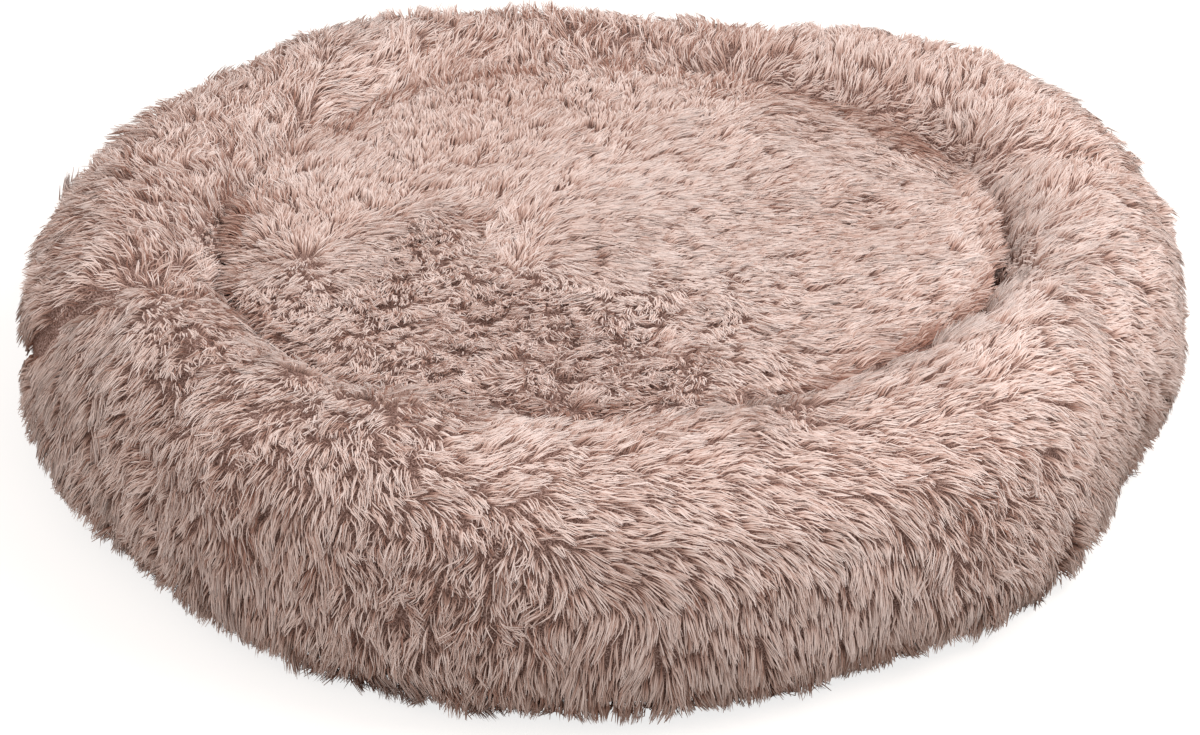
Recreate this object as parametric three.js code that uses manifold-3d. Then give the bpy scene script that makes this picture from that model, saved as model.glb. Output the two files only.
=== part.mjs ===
// Round plush pet bed: a thick fur rim round a domed fur seat.
// The fur and the base fabric make a washable cover that opens with a zip underneath.
// In it lies a thin liner with two chambers of filling, one for the rim and one for the seat.
// Millimetres, +Z up, the front of the bed towards -Y. The bed stands on the plane z = 0.

import * as THREE from 'three';
import { mergeVertices } from 'three/addons/utils/BufferGeometryUtils.js';
import Module from 'manifold-3d';

const wasm = await Module();
wasm.setup();

// Whole bed, measured over the fur
const bedRadius = 450;
const bedHeight = 190;
const crestRadius = 360; // from the middle of the bed to the top of the rim
const rimInnerRadius = 295; // from the middle of the bed to the inner side of the rim
const crestRise = 97; // from where the rim is widest up to its crest
const seatCrownDrop = 16; // how far the seat's middle lies below the rim's crest
const seatEdgeDrop = 30; // how far the seat lies below the crest at the crease

// Cover
const pileDepth = 27; // fur pile together with its knitted backing
const baseThickness = 6; // coated base fabric with its wadding
const bindingWidth = 6;
const bindingRise = 0.7; // the binding's lower edge, above the floor
const creaseGap = 1; // between the seat panel's edge and the inner side of the rim
const fabricGap = 0.4; // between two layers that lie on each other
const seamGap = 0.3; // between two edges that are sewn to each other
const rimEase = 1.6; // room of each layer of the rim inside the next one

// Liner and filling
const linerThickness = 1.2;

// Zip: two tapes on the inside of the base, each with half of the coil on its edge
const zipLength = 490; // from the bottom stop to the top stops
const tapeThickness = 0.6;
const tapeWidth = 13;
const tapeOverrun = 20; // of the tapes beyond the stops
const tapeEdge = 1.6; // from the middle of the zip to the edge of a tape
const coilInner = 0.15; // from the middle of the zip to the heads of a coil half
const coilOuter = 3.4;
const coilThickness = 1.8;
const zipGap = 0.3;
const slotHalfWidth = 6; // opening of the base fabric along the zip
const slotOverrun = 6; // of the opening beyond the tapes
const stopLength = 3.2;
const stopOuter = 3.7;
const topStopInner = 2.1;
const bottomStopLength = 5;

// Slider, with its mouth towards +X, and the pull that hangs in its bail
const sliderLength = 13;
const sliderHalfWidth = 5;
const sliderCorner = 1.6;
const plateThickness = 1;
const flangeThickness = 1;
const flangeHeight = 1.6;
const wedgeStart = 1.4; // from the slider's middle towards its mouth
const wedgeLength = 4.2;
const wedgeHalfWidth = 1.3;
const bailLength = 9.8;
const bailHalfWidth = 1.1;
const bailWire = 0.7;
const bailLeg = 1.4;
const bailDrop = 1.5; // clear height of the bail's window
const pullLength = 24;
const pullHalfWidth = 4;
const pullThickness = 0.9;
const pullBar = 0.8; // bar of the pull that runs through the bail
const pullEye = 5.2; // length of the eye behind that bar
const pullEyeHalfWidth = 1.5;
const pullSlotLength = 6.5; // second opening, for the fingers
const pullSlotHalfWidth = 1.4;
const pullBridge = 3; // between the two openings
const channelHalfWidth = 8; // raised channel of the liner over the zip
const channelOverrun = 22; // of the channel beyond the stops
const cutOverrun = 5;

// The outline isn't a true circle: it swells and draws in by a few waves round the bed.
// A lobe's turn is where it swells most, in degrees from +X towards +Y.
const rimLobes = [
  { waves: 3, reach: 12, turn: 27 },
  { waves: 4, reach: 6, turn: 19 },
  { waves: 5, reach: 5, turn: 36 },
];
const seatLobes = [
  { waves: 2, reach: 3.5, turn: -74 },
  { waves: 3, reach: 7, turn: -14 },
];

// The rim cover is sewn from two lengths, whose seams draw the rim down where they cross it
const seamTurns = [15, 195];
const seamDips = [6, 14];
const seamSpread = 9; // half width of a dip, in degrees

// Roundness of the rim's section: 1 is an ellipse and 0 a box
const topRoundness = 0.85;
const baseRoundness = 0.65;
const rimStart = -68; // where the fur meets the base, in degrees round the section
const rimEnd = 158; // where the fur meets the seat
const rimSteps = 9;
const planSteps = 48;
const seatSteps = 7;
const seatFullness = 3; // how flat the seat stays before it rolls down to the crease
const seatRoll = 0.6;
const cornerSteps = 4;

const colours = {
  fur: { color: '#c0a399', roughness: 0.95 },
  baseFabric: { color: '#3d3a39', roughness: 0.8 },
  liner: { color: '#e8e5de', roughness: 0.9 },
  filling: { color: '#f3f1ec', roughness: 1 },
  zipTape: { color: '#35322f', roughness: 0.85 },
  zipCoil: { color: '#2b2927', roughness: 0.45 },
  zipMetal: { color: '#8f8c88', roughness: 0.35, metalness: 1 },
};
const finishes = {};
for (const [name, look] of Object.entries(colours)) finishes[name] = new THREE.MeshStandardMaterial(look);

const rimMiddle = bedHeight - crestRise;

// Heights of the layers under the bed, from the floor up
const tapeBottom = baseThickness + fabricGap;
const tapeTop = tapeBottom + tapeThickness;
const linerBottom = tapeTop + fabricGap;
const linerTop = linerBottom + linerThickness;
const fillingBottom = linerTop + fabricGap;
const coilTop = tapeBottom - zipGap;
const coilBottom = coilTop - coilThickness;
const lowerPlateTop = coilBottom - zipGap;
const lowerPlateBottom = lowerPlateTop - plateThickness;
const upperPlateBottom = tapeTop + fabricGap;
const upperPlateTop = upperPlateBottom + plateThickness;
const pullAxisHeight = lowerPlateBottom - bailDrop / 2;
const channelBottom = upperPlateTop + fabricGap;
const channelTop = channelBottom + linerThickness;
const grooveTop = channelTop + fabricGap;

// Depths of the layers below the fur's surface
const rimLinerInset = pileDepth + rimEase;
const rimLinerInside = rimLinerInset + linerThickness;
const rimFillingInset = rimLinerInside + rimEase;
const seatLinerDrop = pileDepth + fabricGap;
const seatLinerInside = seatLinerDrop + linerThickness;

// Angles and lobes

function degrees(turn) {
  return THREE.MathUtils.degToRad(turn);
}

function lobeReach(lobes, angle) {
  const swells = lobes.map(({ waves, reach, turn }) => reach * Math.cos(waves * (angle - degrees(turn))));
  return swells.reduce((sum, swell) => sum + swell, 0);
}

// How far the lobes move a point of the bed outwards
function planShift(radius, angle) {
  const seat = lobeReach(seatLobes, angle);
  if (radius < rimInnerRadius) return (seat * radius) / rimInnerRadius;
  const share = (radius - rimInnerRadius) / (bedRadius - rimInnerRadius);
  return seat + (lobeReach(rimLobes, angle) - seat) * share;
}

// How far the cross seams draw a point of the rim down
function seamDrop(radius, angle, height) {
  const overRim = THREE.MathUtils.smoothstep(radius, rimInnerRadius, crestRadius);
  const dip = seamTurns.reduce((sum, turn, index) => {
    const away = Math.atan2(Math.sin(angle - degrees(turn)), Math.cos(angle - degrees(turn)));
    return sum + seamDips[index] * Math.exp(-((away / degrees(seamSpread)) ** 2));
  }, 0);
  return dip * overRim * (height / bedHeight) ** 2;
}

// Moves every point of a round piece to its place on the real, lobed bed
function lobed(geometry) {
  const places = geometry.getAttribute('position');
  for (let i = 0; i < places.count; i += 1) {
    const [x, y, z] = [places.getX(i), places.getY(i), places.getZ(i)];
    const radius = Math.hypot(x, y);
    const angle = Math.atan2(y, x);
    const moved = radius + planShift(radius, angle);
    places.setXYZ(i, moved * Math.cos(angle), moved * Math.sin(angle), z - seamDrop(radius, angle, z));
  }
  return geometry;
}

// Closed forms

// A full ring or disc: its section is listed counter-clockwise, as radius and height
function turned(section) {
  const profile = section.map(([radius, height]) => new THREE.Vector2(radius, height));
  return new THREE.LatheGeometry(profile, planSteps).rotateX(Math.PI / 2);
}

function closedRing(section) {
  return turned([...section, section[0]]);
}

// Part of a ring: its section is extruded by the angle and then bent round the bed
function bentRing(section, from, to) {
  const shape = new THREE.Shape(section.map(([radius, height]) => new THREE.Vector2(radius, height)));
  const settings = { depth: to - from, steps: planSteps / 2, bevelEnabled: false };
  const geometry = new THREE.ExtrudeGeometry(shape, settings);
  const places = geometry.getAttribute('position');
  for (let i = 0; i < places.count; i += 1) {
    const angle = to - places.getZ(i);
    const radius = places.getX(i);
    places.setXYZ(i, radius * Math.cos(angle), radius * Math.sin(angle), places.getY(i));
  }
  return geometry;
}

function slab(low, high) {
  const size = high.map((value, axis) => value - low[axis]);
  const middle = high.map((value, axis) => (value + low[axis]) / 2);
  return new THREE.BoxGeometry(...size).translate(...middle);
}

// A flat plate with rounded corners, lying between two heights
function roundedPlate([left, right], halfWidth, corner, [bottom, top], holes = []) {
  const shape = new THREE.Shape();
  shape.moveTo(left + corner, -halfWidth);
  shape.lineTo(right - corner, -halfWidth);
  shape.absarc(right - corner, -halfWidth + corner, corner, -Math.PI / 2, 0, false);
  shape.lineTo(right, halfWidth - corner);
  shape.absarc(right - corner, halfWidth - corner, corner, 0, Math.PI / 2, false);
  shape.lineTo(left + corner, halfWidth);
  shape.absarc(left + corner, halfWidth - corner, corner, Math.PI / 2, Math.PI, false);
  shape.lineTo(left, -halfWidth + corner);
  shape.absarc(left + corner, -halfWidth + corner, corner, Math.PI, 1.5 * Math.PI, false);
  for (const [start, end, half] of holes) {
    shape.holes.push(new THREE.Path([
      new THREE.Vector2(start, -half),
      new THREE.Vector2(start, half),
      new THREE.Vector2(end, half),
      new THREE.Vector2(end, -half),
    ]));
  }
  const settings = { depth: top - bottom, bevelEnabled: false, curveSegments: cornerSteps };
  return new THREE.ExtrudeGeometry(shape, settings).translate(0, 0, bottom);
}

// Cuts and joins

function toSolid(geometry) {
  const bare = geometry.clone();
  bare.deleteAttribute('normal');
  bare.deleteAttribute('uv');
  const merged = mergeVertices(bare);
  const corners = [];
  for (let i = 0; i < merged.index.count; i += 3) {
    const [a, b, c] = [merged.index.getX(i), merged.index.getX(i + 1), merged.index.getX(i + 2)];
    if (a !== b && b !== c && c !== a) corners.push(a, b, c);
  }
  return new wasm.Manifold(new wasm.Mesh({
    numProp: 3,
    vertProperties: new Float32Array(merged.getAttribute('position').array),
    triVerts: new Uint32Array(corners),
  }));
}

function toGeometry(solid) {
  const mesh = solid.getMesh();
  const geometry = new THREE.BufferGeometry();
  geometry.setAttribute('position', new THREE.BufferAttribute(mesh.vertProperties, mesh.numProp));
  geometry.setIndex(new THREE.BufferAttribute(mesh.triVerts, 1));
  return geometry;
}

// Sections of the rim and the seat

// A point of the rim's section, drawn in from the fur's surface by the inset
function rimPoint(turn, inset, floor) {
  const across = Math.cos(turn);
  const up = Math.sin(turn);
  const roundness = up < 0 ? baseRoundness : topRoundness;
  const reach = (across > 0 ? bedRadius - crestRadius : crestRadius - rimInnerRadius) - inset;
  const rise = up < 0 ? rimMiddle - floor : crestRise - inset;
  return [
    crestRadius + reach * Math.sign(across) * Math.abs(across) ** roundness,
    rimMiddle + rise * Math.sign(up) * Math.abs(up) ** roundness,
  ];
}

// The section from the base over the crest down to the crease; the flap is the lowering of its last point
function rimPath(inset, floor, flap = 0) {
  const points = [];
  for (let step = 0; step <= rimSteps; step += 1) {
    const turn = degrees(rimStart + ((rimEnd - rimStart) * step) / rimSteps);
    points.push(rimPoint(turn, inset, floor));
  }
  points[rimSteps][1] -= flap;
  return points;
}

const [furCreaseRadius, furCreaseHeight] = rimPoint(degrees(rimEnd), 0, 0);
const chamberWall = rimInnerRadius + creaseGap / 2; // inner face of the wall between the chambers
const chamberWallOuter = chamberWall + linerThickness;
const wallTop = furCreaseHeight - creaseGap;
const linerFoot = rimPath(rimLinerInset, linerBottom)[0][0] - linerThickness;
const fillingFoot = linerFoot - linerThickness - rimEase;
const seatPanelRadius = rimInnerRadius - creaseGap;
const seatTopRadius = furCreaseRadius + creaseGap;

// Height of the seat's fur at a share of its radius
function seatHeight(share) {
  const roll = (1 - share ** seatFullness) ** seatRoll;
  return bedHeight - seatEdgeDrop + (seatEdgeDrop - seatCrownDrop) * roll;
}

// The seat's dome, from its middle out to a radius, lowered by the drop
function seatDome(limit, drop) {
  const points = [];
  for (let step = 0; step <= seatSteps; step += 1) {
    const share = Math.sin(((Math.PI / 2) * step) / seatSteps);
    points.push(new THREE.Vector2(seatTopRadius * share, seatHeight(share) - drop));
  }
  const [before, last] = points.slice(-2);
  last.lerpVectors(before, last.clone(), (limit - before.x) / (last.x - before.x));
  return points.map(({ x, y }) => [x, y]);
}

// Sub-parts

const bed = new THREE.Group();

function add(name, geometry, finish) {
  const mesh = new THREE.Mesh(geometry, finish);
  mesh.name = name;
  bed.add(mesh);
  return mesh;
}

function makeRimPanels() {
  const outside = rimPath(0, 0);
  const inside = rimPath(pileDepth, baseThickness + fabricGap).reverse();
  const section = [...outside, ...inside];
  const half = seamGap / 2 / crestRadius;
  const [right, left] = seamTurns.map(degrees);
  const panels = [
    ['rear', right + half, left - half],
    ['front', left + half, right + 2 * Math.PI - half],
  ];
  for (const [name, from, to] of panels) {
    add(`rim_fur_panel_${name}`, lobed(bentRing(section, from, to)), finishes.fur);
  }
}

function makeSeatPanel() {
  const under = seatDome(seatPanelRadius, pileDepth);
  const over = seatDome(seatTopRadius, 0).reverse();
  add('seat_fur_panel', lobed(turned([...under, ...over])), finishes.fur);
}

const [baseEdgeRadius, furLowerEdge] = rimPoint(degrees(rimStart), 0, 0);
const bindingOuter = baseEdgeRadius + bindingWidth / 4;
const bindingInner = bindingOuter - bindingWidth;
const basePanelRadius = bindingInner - fabricGap;
const tapeHalfLength = zipLength / 2 + tapeOverrun;
const slotHalfLength = tapeHalfLength + slotOverrun;

function makeBase() {
  const disc = [[0, 0], [basePanelRadius, 0], [basePanelRadius, baseThickness], [0, baseThickness]];
  const whole = toSolid(lobed(turned(disc)));
  const slot = slab(
    [-slotHalfLength, -slotHalfWidth, -cutOverrun],
    [slotHalfLength, slotHalfWidth, baseThickness + cutOverrun],
  );
  const reach = bedRadius + cutOverrun;
  for (const [name, side] of [['base_panel_front', -1], ['base_panel_rear', 1]]) {
    const near = (side * seamGap) / 2;
    const far = side * reach;
    const keep = slab(
      [-reach, Math.min(near, far), -cutOverrun],
      [reach, Math.max(near, far), baseThickness + cutOverrun],
    );
    const panel = whole.intersect(toSolid(keep)).subtract(toSolid(slot));
    add(name, toGeometry(panel), finishes.baseFabric);
  }
  const bindingTop = furLowerEdge - fabricGap;
  const binding = [
    [bindingInner, bindingRise],
    [bindingOuter, bindingRise],
    [bindingOuter, bindingTop],
    [bindingInner, bindingTop],
  ];
  add('base_binding', lobed(closedRing(binding)), finishes.baseFabric);
}

function makeLiner() {
  const outside = rimPath(rimLinerInset, linerBottom);
  const inside = rimPath(rimLinerInside, linerTop, linerThickness);
  const rimTop = [
    [linerFoot, fillingBottom],
    ...outside,
    [chamberWallOuter + fabricGap, wallTop - fabricGap],
    [chamberWallOuter + fabricGap, wallTop - fabricGap - linerThickness],
    ...inside.reverse(),
    [linerFoot - linerThickness, fillingBottom],
  ];
  add('liner_rim_top', lobed(closedRing(rimTop)), finishes.liner);

  const wall = [
    [chamberWall, fillingBottom],
    [chamberWallOuter, fillingBottom],
    [chamberWallOuter, wallTop],
    [chamberWall, wallTop],
  ];
  add('liner_chamber_wall', lobed(closedRing(wall)), finishes.liner);

  const radius = chamberWall - fabricGap;
  const top = seatDome(radius, seatLinerDrop).reverse();
  const under = seatDome(radius, seatLinerInside);
  add('liner_seat_top', lobed(turned([...under, ...top])), finishes.liner);

  const disc = [[0, linerBottom], [linerFoot, linerBottom], [linerFoot, linerTop], [0, linerTop]];
  const channelHalfLength = zipLength / 2 + channelOverrun;
  const outer = slab(
    [-channelHalfLength - linerThickness, -channelHalfWidth - linerThickness, linerBottom],
    [channelHalfLength + linerThickness, channelHalfWidth + linerThickness, channelTop],
  );
  const inner = slab(
    [-channelHalfLength, -channelHalfWidth, linerBottom - cutOverrun],
    [channelHalfLength, channelHalfWidth, channelBottom],
  );
  const base = toSolid(lobed(turned(disc))).add(toSolid(outer)).subtract(toSolid(inner));
  add('liner_base', toGeometry(base), finishes.liner);
}

function makeFillings() {
  const path = rimPath(rimFillingInset, fillingBottom, linerThickness + rimEase);
  const inner = chamberWallOuter + fabricGap;
  const rimSection = [
    [inner, fillingBottom],
    [fillingFoot, fillingBottom],
    ...path,
    [inner, wallTop - linerThickness - fabricGap - rimEase],
  ];
  add('rim_filling', lobed(closedRing(rimSection)), finishes.filling);

  const radius = chamberWall - fabricGap;
  const dome = seatDome(radius, seatLinerInside + fabricGap).reverse();
  const whole = toSolid(lobed(turned([[0, fillingBottom], [radius, fillingBottom], ...dome])));
  const grooveHalfLength = zipLength / 2 + channelOverrun + linerThickness + fabricGap;
  const grooveHalfWidth = channelHalfWidth + linerThickness + fabricGap;
  const groove = slab(
    [-grooveHalfLength, -grooveHalfWidth, fillingBottom - cutOverrun],
    [grooveHalfLength, grooveHalfWidth, grooveTop],
  );
  add('seat_filling', toGeometry(whole.subtract(toSolid(groove))), finishes.filling);
}

const closedEnd = zipLength / 2;
const sliderRest = closedEnd - wedgeStart - stopLength - zipGap;

function makeZip() {
  for (const [name, side] of [['front', -1], ['rear', 1]]) {
    const across = (near, far) => [Math.min(side * near, side * far), Math.max(side * near, side * far)];
    const [tapeLow, tapeHigh] = across(tapeEdge, tapeEdge + tapeWidth);
    const tape = slab([-tapeHalfLength, tapeLow, tapeBottom], [tapeHalfLength, tapeHigh, tapeTop]);
    add(`zip_tape_${name}`, tape, finishes.zipTape);

    const [coilLow, coilHigh] = across(coilInner, coilOuter);
    const coilStart = -zipLength / 2 + zipGap;
    const coilEnd = sliderRest + wedgeStart - zipGap;
    const coil = slab([coilStart, coilLow, coilBottom], [coilEnd, coilHigh, coilTop]);
    add(`zip_coil_${name}`, coil, finishes.zipCoil);

    const [stopLow, stopHigh] = across(topStopInner, stopOuter);
    const stop = slab([closedEnd - stopLength, stopLow, coilBottom], [closedEnd, stopHigh, coilTop]);
    add(`zip_top_stop_${name}`, stop, finishes.zipMetal);
  }
  const bottomStop = roundedPlate(
    [-zipLength / 2 - bottomStopLength, -zipLength / 2],
    stopOuter,
    plateThickness,
    [coilBottom, coilTop],
  );
  add('zip_bottom_stop', bottomStop, finishes.zipMetal);
}

function makeSlider() {
  const [back, mouth] = [-sliderLength / 2, sliderLength / 2];
  const plate = (bottom, top) => roundedPlate([back, mouth], sliderHalfWidth, sliderCorner, [bottom, top]);
  const joined = plate(lowerPlateBottom, lowerPlateTop);
  const upper = plate(upperPlateBottom, upperPlateTop);
  const flangeFrom = back + sliderCorner;
  const flangeTo = mouth - sliderCorner;
  const flangeTop = lowerPlateTop + flangeHeight;
  const flangeInner = sliderHalfWidth - flangeThickness;
  const wedge = new THREE.Shape([
    new THREE.Vector2(wedgeStart, 0),
    new THREE.Vector2(wedgeStart + wedgeLength / 2, -wedgeHalfWidth),
    new THREE.Vector2(wedgeStart + wedgeLength, 0),
    new THREE.Vector2(wedgeStart + wedgeLength / 2, wedgeHalfWidth),
  ]);
  const wedgeDepth = upperPlateTop - lowerPlateBottom;
  const wedgePost = new THREE.ExtrudeGeometry(wedge, { depth: wedgeDepth, bevelEnabled: false });
  const bailBottom = lowerPlateBottom - bailDrop - bailWire;
  const bailHigh = lowerPlateBottom + plateThickness / 2;
  const [bailBack, bailFront] = [-bailLength / 2, bailLength / 2];
  const pieces = [
    upper,
    slab([flangeFrom, -sliderHalfWidth, lowerPlateBottom], [flangeTo, -flangeInner, flangeTop]),
    slab([flangeFrom, flangeInner, lowerPlateBottom], [flangeTo, sliderHalfWidth, flangeTop]),
    wedgePost.translate(0, 0, lowerPlateBottom),
    slab([bailBack, -bailHalfWidth, bailBottom], [bailFront, bailHalfWidth, bailBottom + bailWire]),
    slab([bailBack, -bailHalfWidth, bailBottom], [bailBack + bailLeg, bailHalfWidth, bailHigh]),
    slab([bailFront - bailLeg, -bailHalfWidth, bailBottom], [bailFront, bailHalfWidth, bailHigh]),
  ];
  const slider = pieces.reduce((solid, piece) => solid.add(toSolid(piece)), toSolid(joined));
  add('zip_slider', toGeometry(slider), finishes.zipMetal).position.set(sliderRest, 0, 0);
}

// The pull lies along the closed zip; its bar in the bail is the axis that it swings about
function makePull() {
  const half = pullBar / 2;
  const eyeEnd = -half - pullEye;
  const slotStart = eyeEnd - pullBridge;
  const holes = [
    [eyeEnd, -half, pullEyeHalfWidth],
    [slotStart - pullSlotLength, slotStart, pullSlotHalfWidth],
  ];
  const thickness = [pullAxisHeight - pullThickness / 2, pullAxisHeight + pullThickness / 2];
  const pull = roundedPlate([-pullLength, half], pullHalfWidth, half, thickness, holes);
  add('zip_pull', pull, finishes.zipMetal).position.set(sliderRest, 0, 0);
}

makeRimPanels();
makeSeatPanel();
makeBase();
makeLiner();
makeFillings();
makeZip();
makeSlider();
makePull();

// The lobes aren't even round the bed, so the origin is set in the middle of its outline
const outline = Array.from({ length: planSteps }, (_, step) => {
  const angle = (2 * Math.PI * step) / planSteps;
  const radius = bedRadius + planShift(bedRadius, angle);
  return new THREE.Vector2(radius * Math.cos(angle), radius * Math.sin(angle));
});
const middle = new THREE.Box2().setFromPoints(outline).getCenter(new THREE.Vector2());
bed.position.set(-middle.x, -middle.y, 0);

export default bed;
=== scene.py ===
"""Looks of a round plush pet bed: long combed fur on rim and seat, woven base with dots, zip underneath."""

import logging
import math
from collections.abc import Iterator
from contextlib import contextmanager
from dataclasses import dataclass, field
from enum import Enum

import bpy
import numpy as np
from bpy.types import Material, Mesh, Node, NodeSocket, NodeTree, Object
from mathutils import Matrix, Vector
from mathutils.bvhtree import BVHTree
from mathutils.kdtree import KDTree


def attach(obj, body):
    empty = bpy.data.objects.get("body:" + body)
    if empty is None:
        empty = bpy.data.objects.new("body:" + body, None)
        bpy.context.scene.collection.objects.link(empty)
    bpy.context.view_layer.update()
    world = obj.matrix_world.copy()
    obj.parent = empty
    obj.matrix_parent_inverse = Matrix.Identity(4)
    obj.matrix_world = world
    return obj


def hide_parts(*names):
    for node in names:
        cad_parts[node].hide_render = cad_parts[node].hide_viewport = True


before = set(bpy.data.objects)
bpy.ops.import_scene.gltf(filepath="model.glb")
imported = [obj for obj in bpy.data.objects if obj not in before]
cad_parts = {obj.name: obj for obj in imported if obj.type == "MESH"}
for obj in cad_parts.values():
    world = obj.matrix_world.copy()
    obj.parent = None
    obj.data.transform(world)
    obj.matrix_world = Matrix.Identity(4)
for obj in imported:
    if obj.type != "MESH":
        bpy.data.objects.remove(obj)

LOG = logging.getLogger("pet_bed")
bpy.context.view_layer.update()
MM = 0.001
MERGE = 0.01 * MM  # corners nearer than this are one
PHOTO_WIDTH, PHOTO_HEIGHT = 1200, 735
Pair = tuple[float, float]


# General helpers


def linear(hex_colour: str) -> tuple[float, float, float, float]:
    """Turns an sRGB hex colour into linear values.

    Args:
        hex_colour: six hex digits, such as "d8bcb0".

    Returns:
        Linear red, green, blue and an alpha of one.
    """
    shares = [int(hex_colour[i : i + 2], 16) / 255 for i in (0, 2, 4)]
    curve = [s / 12.92 if s <= 0.04045 else ((s + 0.055) / 1.055) ** 2.4 for s in shares]
    return (*curve, 1.0)


def feed(tree: NodeTree, node: Node, inputs: dict) -> Node:
    """Sets the inputs of a node.

    Args:
        tree: the node tree.
        node: the node.
        inputs: a value for each named or numbered input, or the output socket that feeds it.

    Returns:
        The same node.
    """
    for name, value in inputs.items():
        if isinstance(value, NodeSocket):
            tree.links.new(value, node.inputs[name])
        else:
            node.inputs[name].default_value = value
    return node


def add_node(tree: NodeTree, kind: str, settings: dict = {}, inputs: dict = {}) -> Node:
    """Adds one shader node with its settings and links.

    Args:
        tree: the node tree.
        kind: the node's Blender type, without the ShaderNode before it.
        settings: the node's attributes.
        inputs: its inputs, as feed takes them.

    Returns:
        The new node.
    """
    node = tree.nodes.new(f"ShaderNode{kind}")
    for name, value in settings.items():
        setattr(node, name, value)
    return feed(tree, node, inputs)


def set_stops(ramp: Node, stops: list[tuple[float, str]]) -> Node:
    """Gives a colour ramp its stops.

    Args:
        ramp: the ramp's node.
        stops: place, from 0 to 1, and hex colour of each stop.

    Returns:
        The same node.
    """
    elements = ramp.color_ramp.elements
    while len(elements) < len(stops):
        elements.new(1.0)
    for element, (place, colour) in zip(elements, stops):
        element.position = place
        element.color = linear(colour)
    return ramp


def new_material(name: str) -> tuple[Material, NodeTree, Node]:
    """Starts a material.

    Args:
        name: the finish's name.

    Returns:
        The material, its node tree and its shader.
    """
    material = bpy.data.materials.new(name)
    material.use_nodes = True
    tree = material.node_tree
    return material, tree, tree.nodes["Principled BSDF"]


def new_piece(name: str, mesh: Mesh) -> Object:
    """Links a mesh into the scene as a piece at the origin.

    Args:
        name: the piece's name.
        mesh: its mesh, placed in its vertices.

    Returns:
        The new object.
    """
    piece = bpy.data.objects.new(name, mesh)
    bpy.context.scene.collection.objects.link(piece)
    return piece


def only(piece: Object) -> None:
    """Makes one piece the active one and the only one selected."""
    bpy.ops.object.select_all(action="DESELECT")
    piece.select_set(True)
    bpy.context.view_layer.objects.active = piece


@contextmanager
def editing(piece: Object) -> Iterator[None]:
    """Opens a piece in edit mode, all of it selected, and closes it again.

    Args:
        piece: the piece.

    Returns:
        Nothing; the piece is open while the block runs.
    """
    only(piece)
    bpy.ops.object.mode_set(mode="EDIT")
    bpy.ops.mesh.select_all(action="SELECT")
    yield
    bpy.ops.object.mode_set(mode="OBJECT")


def apply_modifier(piece: Object, kind: str, **settings: object) -> None:
    """Adds a modifier and applies it.

    Args:
        piece: the object.
        kind: the modifier's Blender type.
        settings: the modifier's attributes.
    """
    modifier = piece.modifiers.new(kind.lower(), kind)
    for name, value in settings.items():
        setattr(modifier, name, value)
    only(piece)
    bpy.ops.object.modifier_apply(modifier=modifier.name)


def take_up(kind: str, **settings: object) -> Object:
    """Adds one of Blender's primitives with nothing else selected.

    Args:
        kind: the operator's name after "primitive_" and before "_add".
        settings: its arguments.

    Returns:
        The new object.
    """
    bpy.ops.object.select_all(action="DESELECT")
    getattr(bpy.ops.mesh, f"primitive_{kind}_add")(**settings)
    return bpy.context.active_object


def copy_of(node: str, name: str) -> Object:
    """Copies a CAD node as a new piece with its corners merged.

    Args:
        node: the CAD node's name.
        name: the new piece's name.

    Returns:
        The new piece, with no material.
    """
    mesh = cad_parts[node].data.copy()
    mesh.materials.clear()
    piece = new_piece(name, mesh)
    with editing(piece):
        bpy.ops.mesh.remove_doubles(threshold=MERGE)
        bpy.ops.mesh.customdata_custom_splitnormals_clear()
    return piece


def values_of(items: bpy.types.bpy_prop_collection, name: str, width: int,
              kind: type = np.float32) -> np.ndarray:
    """Reads one attribute of every item of a mesh.

    Args:
        items: the mesh's vertices, triangles or other items.
        name: the attribute.
        width: how many values each item has.
        kind: their number type.

    Returns:
        One row of values for each item.
    """
    values = np.empty(len(items) * width, kind)
    items.foreach_get(name, values)
    return values.reshape(-1, width)


def dressed(piece: Object, material: Material, nodes: tuple[str, ...] = ()) -> None:
    """Gives a piece of the cover its material and body, and hides the CAD nodes that it replaces.

    Args:
        piece: the piece.
        material: its only material.
        nodes: the CAD nodes that it replaces.
    """
    piece.data.materials.clear()
    piece.data.materials.append(material)
    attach(piece, "cover")
    if nodes:
        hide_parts(*nodes)
    LOG.info("%s: %d faces", piece.name, len(piece.data.polygons))


def corners_of(mesh: Mesh) -> np.ndarray:
    """The mesh's vertices as an array of points."""
    return values_of(mesh.vertices, "co", 3).astype(float)


def place_corners(mesh: Mesh, points: np.ndarray) -> None:
    """Moves the mesh's vertices to the points."""
    mesh.vertices.foreach_set("co", points.astype(np.float32).ravel())
    mesh.update()


def unit(vectors: np.ndarray) -> np.ndarray:
    """Vectors of length one in the same directions."""
    return vectors / np.maximum(np.linalg.norm(vectors, axis=-1, keepdims=True), 1e-9)


def wander(points: np.ndarray, wavelength: float, seed: int, waves: int = 7) -> np.ndarray:
    """A smooth random field over space.

    Args:
        points: places, in metres.
        wavelength: typical distance between two swells, in metres.
        seed: which field.
        waves: how many waves are summed.

    Returns:
        One value of about -1 to 1 for each point.
    """
    rng = np.random.default_rng(seed)
    total = np.zeros(len(points))
    for _ in range(waves):
        direction = unit(rng.normal(size=(1, 3)))[0]
        pace = 2 * math.pi / (wavelength * rng.uniform(0.7, 1.4))
        total += np.sin(points @ direction * pace + rng.uniform(0, 2 * math.pi))
    return total / math.sqrt(waves)


# Shape of the bed, as its solids have it


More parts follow.
